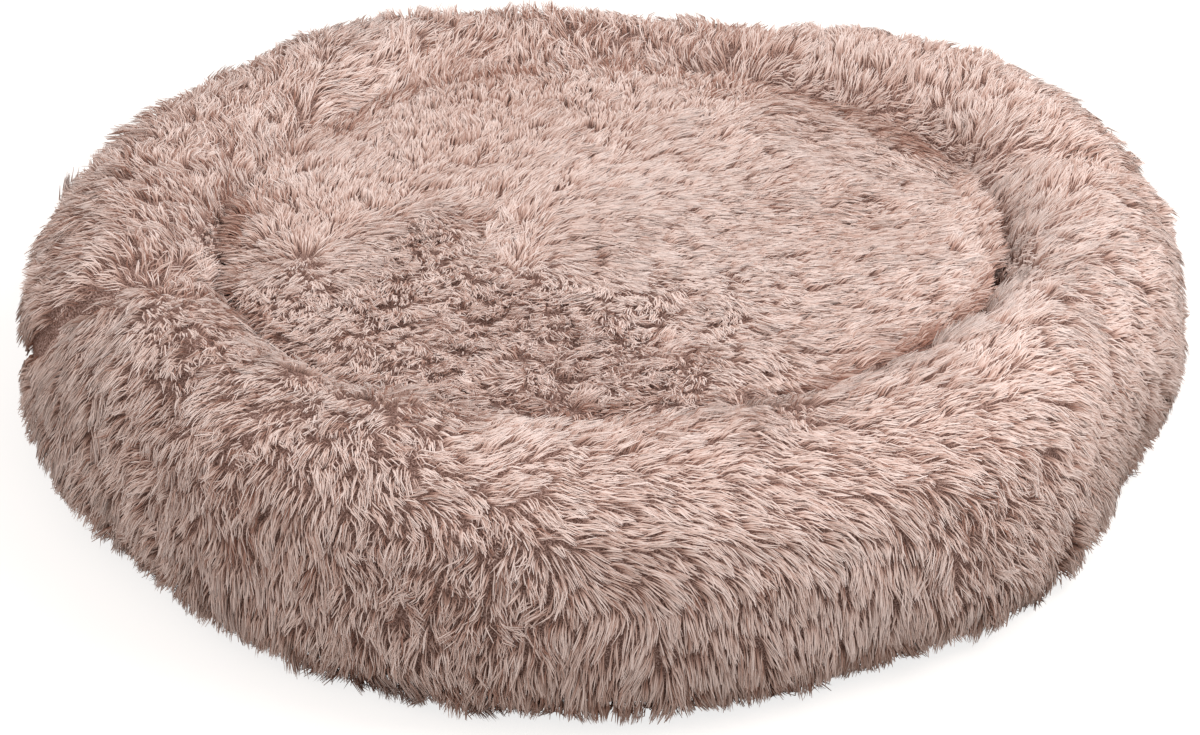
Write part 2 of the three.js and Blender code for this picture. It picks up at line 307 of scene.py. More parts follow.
@dataclass(frozen=True)
class BedShape:
    """The bed's main sizes, in metres, about the middle of its sewn outline."""

    centre: Pair = (1.0 * MM, 10.07 * MM)
    bed_radius: float = 450 * MM
    crest_radius: float = 360 * MM
    rim_inner_radius: float = 295 * MM
    rim_middle: float = 93 * MM
    pile_depth: float = 27 * MM
    seam_turns: Pair = (15.0, 195.0)
    rim_lobes: tuple[tuple[int, float, float], ...] = ((3, 12 * MM, 27), (4, 6 * MM, 19), (5, 5 * MM, 36))
    seat_lobes: tuple[tuple[int, float, float], ...] = ((2, 3.5 * MM, -74), (3, 7 * MM, -14))
    # Where the stuffed rim bulges or sags: turn and half spread in degrees, outwards and upwards
    bulges: tuple[tuple[float, float, float, float], ...] = (
        (84, 15, 0.0, -11 * MM), (48, 10, 4 * MM, 5 * MM), (28, 10, 7 * MM, 2 * MM), (123, 7, 2 * MM, 4 * MM),
        (200, 9, 3 * MM, 0.0), (232, 14, 9 * MM, 0.0), (262, 25, 6 * MM, 0.0), (312, 10, 9 * MM, 0.0),
        (337, 17, -16 * MM, 0.0),
    )
    skirt: float = 12 * MM  # how much further the hanging pile fills the rim out above the floor
    skirt_top_share: float = 1.15  # of the rim's middle height, where the skirt ends
    skirt_foot: float = 30 * MM  # below this it draws in again, to half
    shoulder: float = 60 * MM  # over which the outer face takes up a bulge beyond the crest
    upper_share: float = 0.6  # of the rim's middle height, above which a sag starts
    groove: float = 13 * MM  # of a cross seam on the crest
    groove_side_share: float = 0.7  # of it on the outer face
    groove_spread: float = 2.8

    def _reach(self, lobes: tuple, angle: np.ndarray) -> np.ndarray:
        """Sum of the lobes' swells at an angle."""
        return sum(reach * np.cos(waves * (angle - math.radians(turn))) for waves, reach, turn in lobes)

    def polar(self, points: np.ndarray) -> tuple[np.ndarray, np.ndarray]:
        """Where points lie on the round bed that the lobes were laid over.

        Args:
            points: places in the row frame.

        Returns:
            The radius before the lobes, and the angle.
        """
        x, y = points[:, 0] - self.centre[0], points[:, 1] - self.centre[1]
        angle, radius = np.arctan2(y, x), np.hypot(x, y)
        seat, rim = self._reach(self.seat_lobes, angle), self._reach(self.rim_lobes, angle)
        plain = radius - seat
        share = np.clip((plain - self.rim_inner_radius) / (self.bed_radius - self.rim_inner_radius), 0, 1.2)
        return radius - seat - (rim - seat) * share, angle

    def past(self, angle: np.ndarray, turn: float) -> np.ndarray:
        """How many degrees round the bed each angle lies past a turn, from -180 to 180."""
        return np.degrees(np.angle(np.exp(1j * (angle - math.radians(turn)))))

    def placed(self, radius: np.ndarray, angle: np.ndarray, height: np.ndarray) -> np.ndarray:
        """Points at a radius, an angle and a height about the middle, in the row frame."""
        x, y = self.centre[0] + radius * np.cos(angle), self.centre[1] + radius * np.sin(angle)
        return np.stack([x, y, height + 0 * x], axis=1)

    def laid(self, radius: np.ndarray, angle: np.ndarray, height: np.ndarray) -> np.ndarray:
        """Where points of the round bed lie on the lobed one, in the row frame.

        Args:
            radius: each point's radius on the round bed.
            angle: its angle.
            height: its height.

        Returns:
            The points in the row frame.
        """
        share = np.clip((radius - self.rim_inner_radius) / (self.bed_radius - self.rim_inner_radius), 0, 1.2)
        seat, rim = self._reach(self.seat_lobes, angle), self._reach(self.rim_lobes, angle)
        moved = radius + seat + (rim - seat) * share
        return self.placed(moved, angle, height)

    def bulge(self, points: np.ndarray) -> np.ndarray:
        """How far the stuffed rim bulges, sags and is drawn in by its cross seams at each point.

        Args:
            points: places in the row frame.

        Returns:
            A move for each point.
        """
        radius, angle = self.polar(points)
        height = points[:, 2]
        outer = np.clip((radius - self.crest_radius) / self.shoulder, 0, 1)
        upper = np.clip(height / self.rim_middle - self.upper_share, 0, 1)
        lower = np.clip(self.skirt_top_share - height / self.rim_middle, 0, 1)
        lower = lower * np.clip(height / self.skirt_foot, 0.5, 1)
        radial = np.stack([np.cos(angle), np.sin(angle), 0 * angle], axis=1)
        moved = radial * (lower * outer * self.skirt)[:, None]
        for turn, spread, out, up in self.bulges:
            near = np.exp(-((self.past(angle, turn) / spread) ** 2))
            moved += radial * (near * outer * out)[:, None]
            moved[:, 2] += near * upper * up
        for turn in self.seam_turns:
            near = np.exp(-((self.past(angle, turn) / self.groove_spread) ** 2))
            moved[:, 2] -= near * upper * self.groove
            moved -= radial * (near * outer * self.groove * self.groove_side_share)[:, None]
        return moved

    def section_turn(self, points: np.ndarray) -> np.ndarray:
        """Angle of each point round the rim's section: 0 outwards, 90 degrees on the crest."""
        radius, _ = self.polar(points)
        return np.arctan2(points[:, 2] - self.rim_middle, radius - self.crest_radius)


SHAPE = BedShape()


# Camera, lamps and floor


@dataclass
class Studio:
    """Camera at the photograph's angle, soft lamps and a white floor."""

    target: Vector = field(default_factory=lambda: Vector((-4.9 * MM, -81.4 * MM, 90 * MM)))
    distance: float = 3.054
    elevation: float = 28.2
    roll: float = -0.0083
    lens: float = 120.0
    sensor: float = 36.0
    sky_level: float = 0.77
    lamps: tuple = (
        ("key_lamp", (1.7, -0.4, 2.4), 1.6, 57, "ffffff"), ("fill_lamp", (-2.4, -1.2, 1.6), 2.2, 17, "fff0e8"),
        ("front_lamp", (0.4, -2.8, 2.0), 2.2, 15, "ffffff"),
    )
    aim: float = 100 * MM  # height that the lamps face
    opening: float = 403 * MM
    opening_sides: int = 96
    floor_reach: float = 40.0  # of the floor's outer edge, in openings
    floor_paint: str = "989089"
    floor_glow: float = 0.78

    def axes(self) -> tuple[Vector, Vector, Vector]:
        """The camera's right, up and forward directions.

        Returns:
            Three unit vectors.
        """
        tilt = math.radians(self.elevation)
        right, up = Vector((1, 0, 0)), Vector((0, math.sin(tilt), math.cos(tilt)))
        forward = Vector((0, math.cos(tilt), -math.sin(tilt)))
        turn = Matrix.Rotation(self.roll, 3, -forward)
        return turn @ right, turn @ up, forward

    def add_camera(self) -> None:
        """Adds the camera and makes it the scene's."""
        right, up, forward = self.axes()
        data = bpy.data.cameras.new("photo_camera")
        data.lens, data.sensor_width, data.sensor_fit = self.lens, self.sensor, "HORIZONTAL"
        data.clip_end = 60.0
        camera = bpy.data.objects.new("photo_camera", data)
        matrix = Matrix((right, up, -forward)).transposed().to_4x4()
        matrix.translation = self.target - forward * self.distance
        camera.matrix_world = matrix
        bpy.context.scene.collection.objects.link(camera)
        bpy.context.scene.camera = camera

    def pixels(self, points: np.ndarray) -> np.ndarray:
        """Where points show in the photograph.

        Args:
            points: places in the row frame.

        Returns:
            Across and down in pixels, for each point.
        """
        right, up, forward = (np.array(v) for v in self.axes())
        away = points - (np.array(self.target) - forward * self.distance)
        focal = self.lens / self.sensor * PHOTO_WIDTH
        depth = away @ forward
        return np.stack([
            PHOTO_WIDTH / 2 + focal * (away @ right) / depth,
            PHOTO_HEIGHT / 2 - focal * (away @ up) / depth,
        ], axis=1)

    def add_lamps(self) -> None:
        """Adds the key lamp at the upper right, the warm fill at the left and a soft lamp in front."""
        for name, place, size, watts, tint in self.lamps:
            data = bpy.data.lights.new(name, "AREA")
            data.shape, data.size, data.energy, data.color = "SQUARE", size, watts, linear(tint)[:3]
            lamp = bpy.data.objects.new(name, data)
            lamp.location = place
            ahead = Vector((0, 0, self.aim)) - Vector(place)
            lamp.rotation_euler = ahead.to_track_quat("-Z", "Y").to_euler()
            bpy.context.scene.collection.objects.link(lamp)

    def add_sky(self) -> None:
        """Lights the scene evenly and shows white to the camera."""
        world = bpy.data.worlds.new("studio_sky")
        bpy.context.scene.world = world
        world.use_nodes = True
        tree = world.node_tree
        tree.nodes.clear()
        path = add_node(tree, "LightPath")
        seen = add_node(tree, "Math", {"operation": "MAXIMUM"}, {
            0: path.outputs["Is Camera Ray"], 1: path.outputs["Is Glossy Ray"],
        })
        seen = add_node(tree, "Math", {"operation": "MAXIMUM"}, {
            0: seen.outputs[0], 1: path.outputs["Is Transmission Ray"],
        })
        level = add_node(tree, "MapRange", {}, {"Value": seen.outputs[0], "To Min": self.sky_level})
        glow = add_node(tree, "Background", {}, {"Color": linear("ffffff"), "Strength": level.outputs[0]})
        add_node(tree, "OutputWorld", {}, {"Surface": glow.outputs[0]})

    def add_floor(self) -> None:
        """Adds the white floor that keeps a soft shadow, open under the bed so that its base shows."""
        floor = take_up("circle", vertices=self.opening_sides, radius=self.opening, fill_type="NOTHING")
        floor.name = "studio_floor"
        x, y, height = corners_of(floor.data).T
        place_corners(floor.data, SHAPE.laid(np.hypot(x, y), np.arctan2(y, x), height))
        with editing(floor):
            bpy.ops.mesh.extrude_edges_move()
            bpy.ops.transform.resize(value=(self.floor_reach, self.floor_reach, 1))
            bpy.ops.mesh.select_all(action="SELECT")
            bpy.ops.mesh.normals_make_consistent(inside=False)
        material = bpy.data.materials.new("white_floor")
        material.use_nodes = True
        tree = material.node_tree
        tree.nodes.clear()
        path = add_node(tree, "LightPath")
        paint = add_node(tree, "BsdfDiffuse", {}, {"Color": linear(self.floor_paint)})
        glow = add_node(tree, "Emission", {}, {"Color": linear("ffffff"), "Strength": self.floor_glow})
        both = add_node(tree, "AddShader", {}, {0: paint.outputs[0], 1: glow.outputs[0]})
        mix = add_node(tree, "MixShader", {}, {
            0: path.outputs["Is Camera Ray"], 1: paint.outputs[0], 2: both.outputs[0],
        })
        add_node(tree, "OutputMaterial", {}, {"Surface": mix.outputs[0]})
        floor.data.materials.append(material)

    def build(self) -> None:
        """Adds everything that isn't the bed."""
        bpy.context.scene.view_settings.view_transform = "Standard"
        self.add_camera()
        self.add_lamps()
        self.add_sky()
        self.add_floor()


STUDIO = Studio()


# Finishes


@dataclass(frozen=True)
class AcrylicPile:
    """Long acrylic pile, brushed: soft matt fibres, darker towards the root as painted shade of the pile's
    depth.
    """

    root: str = "8f7064"
    low: str = "ceb3a8"
    middle: str = "e6d6cf"
    tip: str = "eee1dc"
    # Stops of each strand's tint, which holds its random variation and the painted shade that lowers it
    tints: tuple[tuple[float, str], ...] = (
        (0.0, "ab8b7f"), (0.2, "d1bbb2"), (0.45, "efe5e1"), (0.7, "fbf5f3"), (0.9, "fffbfa"), (1.0, "dfcec7"),
    )
    roughness: float = 0.6

    def material(self) -> Material:
        """The finish as a material that reads each strand's own map: tint across, root to tip up.

        Returns:
            The material.
        """
        material, tree, shader = new_material("acrylic_pile")
        place = add_node(tree, "UVMap", {"uv_map": "OFBake"})
        parts = add_node(tree, "SeparateXYZ", {}, {0: place.outputs[0]})
        # Painted shade: the colour darkens from tip to root, for the depth of the pile
        along = set_stops(add_node(tree, "ValToRGB", {}, {0: parts.outputs["Y"]}), [
            (0.0, self.root), (0.35, self.low), (0.62, self.middle), (1.0, self.tip),
        ])
        tint = set_stops(add_node(tree, "ValToRGB", {}, {0: parts.outputs["X"]}), list(self.tints))
        colour = add_node(tree, "Mix", {"data_type": "RGBA", "blend_type": "MULTIPLY"}, {
            0: 1.0, 6: along.outputs[0], 7: tint.outputs[0],
        })
        feed(tree, shader, {
            "Base Color": colour.outputs[2], "Roughness": self.roughness, "Specular IOR Level": 0.0,
        })
        return material


@dataclass(frozen=True)
class Underfur:
    """Short dense underfur on the knitted backing: mottled, darker as painted shade between the long strands.
    """

    dark: str = "5c463f"
    middle: str = "86695f"
    light: str = "b39890"
    tuft: float = 1.5 * MM  # real tufts are 1 mm apart, too fine to show

    def material(self) -> Material:
        """The finish as a material on Object coordinates.

        Returns:
            The material.
        """
        material, tree, shader = new_material("dense_underfur")
        place = add_node(tree, "TexCoord")
        tufts = add_node(tree, "TexNoise", {}, {
            "Vector": place.outputs["Object"], "Scale": 1 / self.tuft, "Detail": 2.0, "Roughness": 0.7,
        })
        colour = set_stops(add_node(tree, "ValToRGB", {}, {0: tufts.outputs["Fac"]}), [
            (0.36, self.dark), (0.5, self.middle), (0.64, self.light),
        ])
        bump = add_node(tree, "Bump", {}, {
            "Strength": 0.7, "Distance": 1.0 * MM, "Height": tufts.outputs["Fac"],
        })
        feed(tree, shader, {
            "Base Color": colour.outputs[0], "Normal": bump.outputs[0],
            "Roughness": 0.95, "Specular IOR Level": 0.0,
        })
        return material


@dataclass(frozen=True)
class WovenCloth:
    """Plain woven polyester: threads pass over and under each other, which gives a fine matt chequer."""

    name: str
    dark: str
    light: str
    worn: str
    thread: float
    roughness: float
    specular: float = 0.3
    turn: float = 0.0

    def material(self) -> Material:
        """The cloth as a material on Object coordinates.

        Returns:
            The material.
        """
        material, tree, shader = new_material(self.name)
        place = add_node(tree, "TexCoord")
        cloth = add_node(tree, "Mapping", {}, {
            "Vector": place.outputs["Object"], "Rotation": (0, 0, math.radians(self.turn)),
        })
        pace = math.pi / (10 * self.thread)
        warp, weft = (
            add_node(tree, "TexWave", {"bands_direction": way}, {
                "Vector": cloth.outputs[0], "Scale": pace,
                "Distortion": 0.6, "Detail": 1.0, "Detail Scale": 0.4,
            }) for way in ("X", "Y")
        )
        over = add_node(tree, "TexChecker", {}, {"Vector": cloth.outputs[0], "Scale": 1 / self.thread})
        height = add_node(tree, "Mix", {}, {
            0: over.outputs["Fac"], 2: warp.outputs["Fac"], 3: weft.outputs["Fac"],
        })
        colour = set_stops(add_node(tree, "ValToRGB", {}, {0: height.outputs[0]}), [
            (0.1, self.dark), (0.8, self.light),
        ])
        rub = add_node(tree, "TexNoise", {}, {
            "Vector": place.outputs["Object"], "Scale": 1 / (60 * MM), "Detail": 5.0, "Roughness": 0.6,
        })
        share = add_node(tree, "MapRange", {}, {
            "Value": rub.outputs["Fac"], "From Min": 0.5, "From Max": 0.8, "To Max": 0.45,
        })
        shade = add_node(tree, "Mix", {"data_type": "RGBA"}, {
            0: share.outputs[0], 6: colour.outputs[0], 7: linear(self.worn),
        })
        bump = add_node(tree, "Bump", {}, {
            "Strength": 0.6, "Distance": self.thread * 0.25, "Height": height.outputs[0],
        })
        feed(tree, shader, {
            "Base Color": shade.outputs[2], "Normal": bump.outputs[0],
            "Roughness": self.roughness, "Specular IOR Level": self.specular,
        })
        return material


# Coated Oxford cloth: charcoal, with the coating's slight gloss on the threads; real threads are 0.6 mm apart
OXFORD = WovenCloth("coated_oxford_cloth", "2c2a29", "4a4745", "5a5652", 1.3 * MM, 0.62, 0.4)
# Bias-cut binding: the same cloth turned 45 degrees, uncoated and so more matt
BINDING = WovenCloth("bias_cut_binding", "2a2624", "4c4642", "59524d", 1.0 * MM, 0.85, 0.2, 45.0)
# Zip tape: fine dense weave, dark and matt; real threads are 0.4 mm apart
ZIP_TAPE = WovenCloth("woven_zip_tape", "26231f", "403b37", "4a443f", 0.7 * MM, 0.82, 0.2)


@dataclass(frozen=True)
class Grainy:
    """A material with a fine grain: its colour and gloss vary a little and its surface is slightly uneven."""

    name: str
    dark: str
    light: str
    grain: float
    gloss: Pair
    relief: float
    metallic: float = 0.0
    specular: float = 0.5
    stretch: tuple[float, float, float] = (1.0, 1.0, 1.0)

    def material(self) -> Material:
        """The finish as a material on Object coordinates.

        Returns:
            The material.
        """
        material, tree, shader = new_material(self.name)
        place = add_node(tree, "TexCoord")
        drawn = add_node(tree, "Mapping", {}, {"Vector": place.outputs["Object"], "Scale": self.stretch})
        fine = add_node(tree, "TexNoise", {}, {
            "Vector": drawn.outputs[0], "Scale": 1 / self.grain, "Detail": 4.0, "Roughness": 0.65,
        })
        colour = set_stops(add_node(tree, "ValToRGB", {}, {0: fine.outputs["Fac"]}), [
            (0.3, self.dark), (0.7, self.light),
        ])
        gloss = add_node(tree, "MapRange", {}, {
            "Value": fine.outputs["Fac"], "From Min": 0.3, "From Max": 0.7,
            "To Min": self.gloss[0], "To Max": self.gloss[1],
        })
        bump = add_node(tree, "Bump", {}, {
            "Strength": 0.5, "Distance": self.relief, "Height": fine.outputs["Fac"],
        })
        feed(tree, shader, {
            "Base Color": colour.outputs[0], "Roughness": gloss.outputs[0], "Normal": bump.outputs[0],
            "Metallic": self.metallic,
        })
        if not self.metallic:
            feed(tree, shader, {"Specular IOR Level": self.specular})
        return material


# Printed soft PVC: rubbery black drops with a satin gloss
PVC_DOTS = Grainy("printed_soft_pvc", "1c1a19", "2b2927", 2.5 * MM, (0.38, 0.5), 0.08 * MM)
# Spun polyester thread: twisted, hairy and matt, a little paler than the cloth; its ply is 0.3 mm
THREAD = Grainy("spun_polyester_thread", "35312e", "5b5550", 0.5 * MM, (0.75, 0.9), 0.1 * MM, specular=0.2)
# Drawn nylon wire: smooth, dark and slightly waxy
NYLON = Grainy("drawn_nylon_wire", "201e1c", "363330", 3 * MM, (0.32, 0.46), 0.02 * MM)
# Nickel-plated die-cast zinc, tumbled: warm grey metal, cloudy where the tumbling has dulled it
NICKEL = Grainy("nickel_plated_zinc", "8a8783", "aaa7a2", 1.6 * MM, (0.26, 0.42), 0.03 * MM, metallic=1.0)
# Carded hollow fibre: white, woolly strands that lie in layers
FIBRE = Grainy(
    "carded_hollow_fibre", "d9d5cc", "f6f4ef", 5 * MM, (0.9, 1.0), 1.5 * MM, specular=0.1, stretch=(1, 1, 2.5),
)


@dataclass(frozen=True)
class SpunbondCloth:
    """Spunbond polypropylene: thin white non-woven with rows of pressed bond points and a faint cloudiness."""

    cloth: str = "efece5"
    point: str = "d3cfc6"
    pitch: float = 2.4 * MM  # real points are 1.2 mm apart, too fine to show

    def material(self) -> Material:
        """The cloth as a material on Object coordinates.

        Returns:
            The material.
        """
        material, tree, shader = new_material("spunbond_polypropylene")
        place = add_node(tree, "TexCoord")
        points = add_node(tree, "TexVoronoi", {}, {
            "Vector": place.outputs["Object"], "Scale": 1 / self.pitch, "Randomness": 0.25,
        })
        colour = set_stops(add_node(tree, "ValToRGB", {}, {0: points.outputs["Distance"]}), [
            (0.18, self.point), (0.3, self.cloth),
        ])
        cloud = add_node(tree, "TexNoise", {}, {
            "Vector": place.outputs["Object"], "Scale": 1 / (9 * MM), "Detail": 4.0,
        })
        shade = add_node(tree, "Mix", {"data_type": "RGBA", "blend_type": "MULTIPLY"}, {
            0: 0.15, 6: colour.outputs[0], 7: cloud.outputs["Color"],
        })
        bump = add_node(tree, "Bump", {}, {
            "Strength": 0.4, "Distance": 0.2 * MM, "Height": points.outputs["Distance"],
        })
        feed(tree, shader, {"Base Color": shade.outputs[2], "Normal": bump.outputs[0], "Roughness": 0.88})
        return material


# Fur


@dataclass(frozen=True)
class Spot:
    """A place in the photograph, in its pixels."""

    across: float
    down: float

    def near(self, seen: np.ndarray, reach: float) -> np.ndarray:
        """How near each pixel place is: 1 on the spot, a third at its reach and soon 0 beyond."""
        away = np.hypot(seen[:, 0] - self.across, seen[:, 1] - self.down) / reach
        return np.exp(-away * away)


@dataclass(frozen=True)
class Stroke(Spot):
    """A stroke of the brush that combed the fur, read from the photograph.

    turn is its direction in degrees from the right, counter-clockwise, reach how far it holds in pixels, and
    mess how far the hair strays there, in degrees.
    """

    turn: float
    reach: float = 45.0
    mess: float = 8.0


STROKES = tuple(Stroke(*s) for s in (
    (55, 300, 212, 26, 14), (90, 285, 205, 24, 14), (120, 278, 215, 22, 20), (150, 262, 150, 18, 34),
    (160, 280, 90, 16, 30), (185, 285, 60, 16, 28), (140, 235, 170, 26, 26), (100, 240, 200, 28, 22),
    (62, 362, 236, 24), (105, 325, 232, 22), (140, 320, 250, 22), (175, 325, 300, 22, 18),
    (205, 335, 320, 22, 16), (150, 350, 262, 26, 14), (30, 385, 235, 26), (35, 440, 255),
    (80, 420, 250, 45, 16), (190, 370, 275, 30, 20), (130, 425, 262, 40, 24), (180, 500, 262, 45, 24),
    (240, 500, 272, 45, 24), (310, 520, 276), (100, 520, 262, 45, 18), (245, 115, 100, 40, 24),
    (215, 165, 128, 40, 24), (290, 70, 96, 40, 22), (350, 85, 2, 40), (255, 150, 112, 30),
    (150, 205, 150, 34, 24), (70, 225, 205, 30, 18), (180, 170, 135, 36, 24), (120, 165, 165, 36, 20),
    (90, 195, 190, 34, 16), (400, 110, 92), (500, 105, 90), (600, 110, 84), (350, 165, 42),
    (450, 170, 36), (560, 170, 30), (660, 170, 12), (240, 265, 182, 35), (300, 228, 92, 30),
    (355, 268, 0, 35), (300, 300, 290, 30, 22), (440, 245, -30, 30, 18), (510, 240, 40, 25, 18),
    (600, 225, 2), (700, 240, 0), (800, 240, 0), (880, 240, 6), (985, 195, 42, 35), (985, 270, 30, 35),
    (380, 305, -65, 35, 24), (450, 305, -52, 35, 24), (480, 385, 270, 45, 34), (560, 385, 276, 45, 34),
    (640, 385, 268, 45, 34), (540, 345, 262, 35, 36), (740, 320, -12, 45, 18), (850, 330, 12),
    (930, 330, 24), (760, 385, -40), (800, 110, -25, 40), (880, 140, -30, 35), (935, 168, -36, 30),
    (850, 75, 84), (950, 95, 72), (1050, 165, 48), (1130, 250, 12), (1155, 330, 0), (1140, 420, -22),
    (1095, 500, -42), (450, 48, 96, 45, 22), (600, 42, 90, 45, 26), (720, 58, 88, 45, 18),
    (600, 445, 30, 35), (500, 448, 38, 35), (700, 440, 20, 35), (440, 490, 0), (560, 490, 2),
    (680, 490, 0), (790, 490, -4), (700, 540, -10, 40), (620, 545, -6, 40), (400, 565, 264, 45, 30),
    (480, 575, 254, 50, 34), (330, 560, 266, 45, 24), (260, 590, 268), (820, 625, 270), (700, 650, 270),
    (600, 660, 268), (900, 605, 274), (1000, 385, 44, 40), (950, 428, 2, 35), (870, 470, -6),
    (1015, 500, 300, 35, 26), (950, 545, 290, 35, 22), (330, 465, 268, 45, 20), (400, 440, 300, 35, 20),
    (1060, 420, -10, 40), (880, 380, 20),
))


@dataclass(frozen=True)
class Parting(Spot):
    """A gap among the locks with shorter strands and painted shade: its half size in pixels and how deep it
    is.
    """

    size: float = 12.0
    depth: float = 1.0


PARTINGS = tuple(Parting(*p) for p in (
    (240, 485, 13), (235, 540, 12), (155, 455, 12), (265, 403), (292, 409), (480, 410, 10), (505, 400, 9),
    (640, 420, 10), (700, 360, 12), (680, 170, 8), (730, 190, 8), (760, 210, 8), (410, 252, 9),
    (440, 243, 9), (472, 232, 9), (1005, 238, 12), (996, 285, 12), (986, 322, 12), (225, 200, 12),
    (222, 303, 13), (960, 515, 15), (520, 360, 8), (36, 350, 9, 2.4), (42, 342, 10, 2.6),
    (50, 333, 9, 2.4), (60, 323, 8, 1.8), (72, 314, 8, 1.8), (83, 308, 9, 2.4), (94, 303, 10, 2.6),
    (106, 299, 9, 2.4), (690, 592, 10), (725, 590, 9), (762, 586, 10), (802, 581, 10), (842, 575, 9),
    (882, 566, 9), (922, 553, 9), (135, 295, 5), (160, 300, 5), (185, 303, 5), (158, 265, 6),
    (205, 301, 9), (212, 315, 9), (218, 330, 8), (590, 265, 8), (820, 275, 8),
))


@dataclass(frozen=True)
class PaintedShade(Spot):
    """A patch of painted shade on the fur's tint, where the pile looks darker as the eye looks into it.

    size is its reach in pixels and shade how far the tint drops there; a negative shade is painted sheen,
    where the pile looks paler as the eye looks along it.
    """

    size: float
    shade: float


# Patches of painted shade on the fur's tint, and of painted sheen where the shade is negative
PAINTED_SHADES = tuple(PaintedShade(*t) for t in (
    (598, 44, 95, 0.15), (470, 75, 55, 0.1), (730, 62, 60, 0.12), (234, 234, 50, 0.1),
    (129, 410, 80, -0.06), (674, 234, 110, -0.1), (600, 130, 90, -0.06), (586, 656, 110, 0.06),
    (110, 215, 60, 0.06), (1000, 280, 60, -0.14),
))


class Region(Enum):
    """The two fur surfaces."""

    RIM = "rim"
    SEAT = "seat"


@dataclass(frozen=True)
class PileSizes:
    """Sizes of one region's pile, in metres, and its counts.

    lift_root and lift_tip are the slopes of a strand that is combed flat, in degrees off the backing.
    """

    strands: int
    area: float
    length: float
    lift_root: float
    lift_tip: float
    width: float
    lock: float
    wisp: float
    lock_share: float
    wisp_share: float


@dataclass(frozen=True)
class Habit:
    """How fur strands stand and stray, the same on both surfaces; angles in degrees.

    A pair for locks and wisps is the spread of one random share for each lock and for each wisp. What is said
    for loose fur is scaled by how tousled the place is: loose_smooth where smooth, about 1 where tousled.
    """

    loose_smooth: float = 0.35
    mess_of_loose: float = 22.0  # mess at which fur is one more share loose
    plain_weight: float = 0.12  # of the direction without strokes
    plain_mess: float = 14.0
    outwards: float = 0.6  # and downwards, of that direction on the rim
    downwards: float = 0.75
    sway_waves: Pair = (110 * MM, 35 * MM)
    sway_share: float = 0.9  # of the mess, in each wave
    turn_share: float = 0.6  # of the mess, for locks and wisps
    turn_loose: float = 5.0
    curl_share: float = 1.3  # of the mess, for locks
    curl_loose: float = 17.0
    stray_curl: float = 14.0  # this and the next two by strand
    stray_length: float = 0.12
    stray_lift: float = 4.0
    grow: Pair = (0.2, 0.1)  # lengths, beside the pile's own
    grow_smooth: float = 1.25
    grow_drop: float = 0.2  # how much shorter loose fur is
    grow_limits: Pair = (0.3, 1.4)
    parting_drop: float = 0.35  # how much shorter the fur is in a parting
    parting_least: float = 0.2
    parting_keep: float = 0.25  # share left of a strand that would cross a deep parting
    lift: Pair = (8.5, 4.5)  # off the combed slope
    lift_power: float = 1.7  # how fast it grows with looseness
    join_power: float = 1.3  # how strands close up towards their wisp's and lock's tip
    join_spread: Pair = (0.5, 1.15)
    off_floor: Pair = (1.8, 4.0)  # least height of a tip, and its random part, in mm
    width_spread: Pair = (0.75, 1.3)
    tint: tuple[float, float, float] = (0.17, 0.1, 0.05)  # for strands, wisps and locks
    tint_middle: float = 0.48
    tint_scale: Pair = (0.4, 1.2)  # of these spreads, where smooth and where tousled
    tint_wave: Pair = (0.05, 160 * MM)
    # painted shade: how far a parting lowers the strands' tint
    parting_painted_shade: float = 0.3
    bends: int = 25  # steps in which a strand is followed from its root
    droop: float = 0.42  # by its weight, at its tip
    lift_fade: float = 1.1  # how soon the root's slope is lost
    curl_start: float = 0.3  # share of the length at which the curl is nil


HABIT = Habit()

STRAND_STOPS = (0.0, 0.52, 1.0)  # shares of a strand's length at which it bends
STRAND_SWELL = (1.0, 0.42)  # its width at each of these but the root
# How far a strand is shaded as the fur's surface, as plush is, and not as a single wire: share where the fur
# lies smooth, and how fast it falls where it is tousled
SOFTNESS, SOFTNESS_FALL, SOFTNESS_LIMITS = 1.06, 0.46, (0.2, 0.88)
LEAST_OUTWARD, LEAST_INWARD = 0.35, -0.3  # how far a shell's outer and inner faces look outwards
FADE_START, FADE_OVER = 0.25, 0.3  # where the photograph's strokes fade out, beyond the bed's outline
# The shade in the crease between seat and rim, which comes and goes, and of the pile just above the floor
CREASE_WIDTH, CREASE_SHADE, CREASE_WAVE, CREASE_WAVELENGTH = 14 * MM, 0.24, 0.14, 90 * MM
LOW_SHADE, LOW_HEIGHTS, LOW_SHADES = 0.38, (60 * MM, 20 * MM), (1.0, 0.6)
OPEN_PARTING = 1.1  # depth from which no strand reaches across a parting
TINT_FALL = 0.2  # share of the tint's spread that doesn't fall where the fur is smooth
TRIANGLE = 1.73  # side of a regular triangle for a radius of 1
TINT_EDGES, LENGTH_EDGES = (0.15, 0.7), (0.004, 0.992)  # start and share of the map's steps that a strand uses
TIP_INSET = 0.05  # how far before the strand's end its point takes its colour
LEAST_FACING = 0.2  # how far the shading normal still faces the strand's own side
MESS_LIFT, MESS_TIP = 0.9, 0.45  # how much steeper a strand stands for each degree that it strays

PILES = {
    Region.RIM: PileSizes(146000, 0.66, 19 * MM, 42, 5, 0.9 * MM, 13 * MM, 3.2 * MM, 0.28, 0.42),
    Region.SEAT: PileSizes(74000, 0.25, 18 * MM, 40, 5, 0.85 * MM, 12 * MM, 3.0 * MM, 0.24, 0.42),
}


@dataclass
class Strands:
    """Strands of fur: points from root to tip, the backing's normals at the roots, and how each one looks."""

    line: np.ndarray
    normals: np.ndarray
    width: np.ndarray
    tint: np.ndarray
    soft: np.ndarray

    def part(self, which: np.ndarray) -> "Strands":
        """Some of the strands, by their indices."""
        return Strands(*(values[which] for values in vars(self).values()))


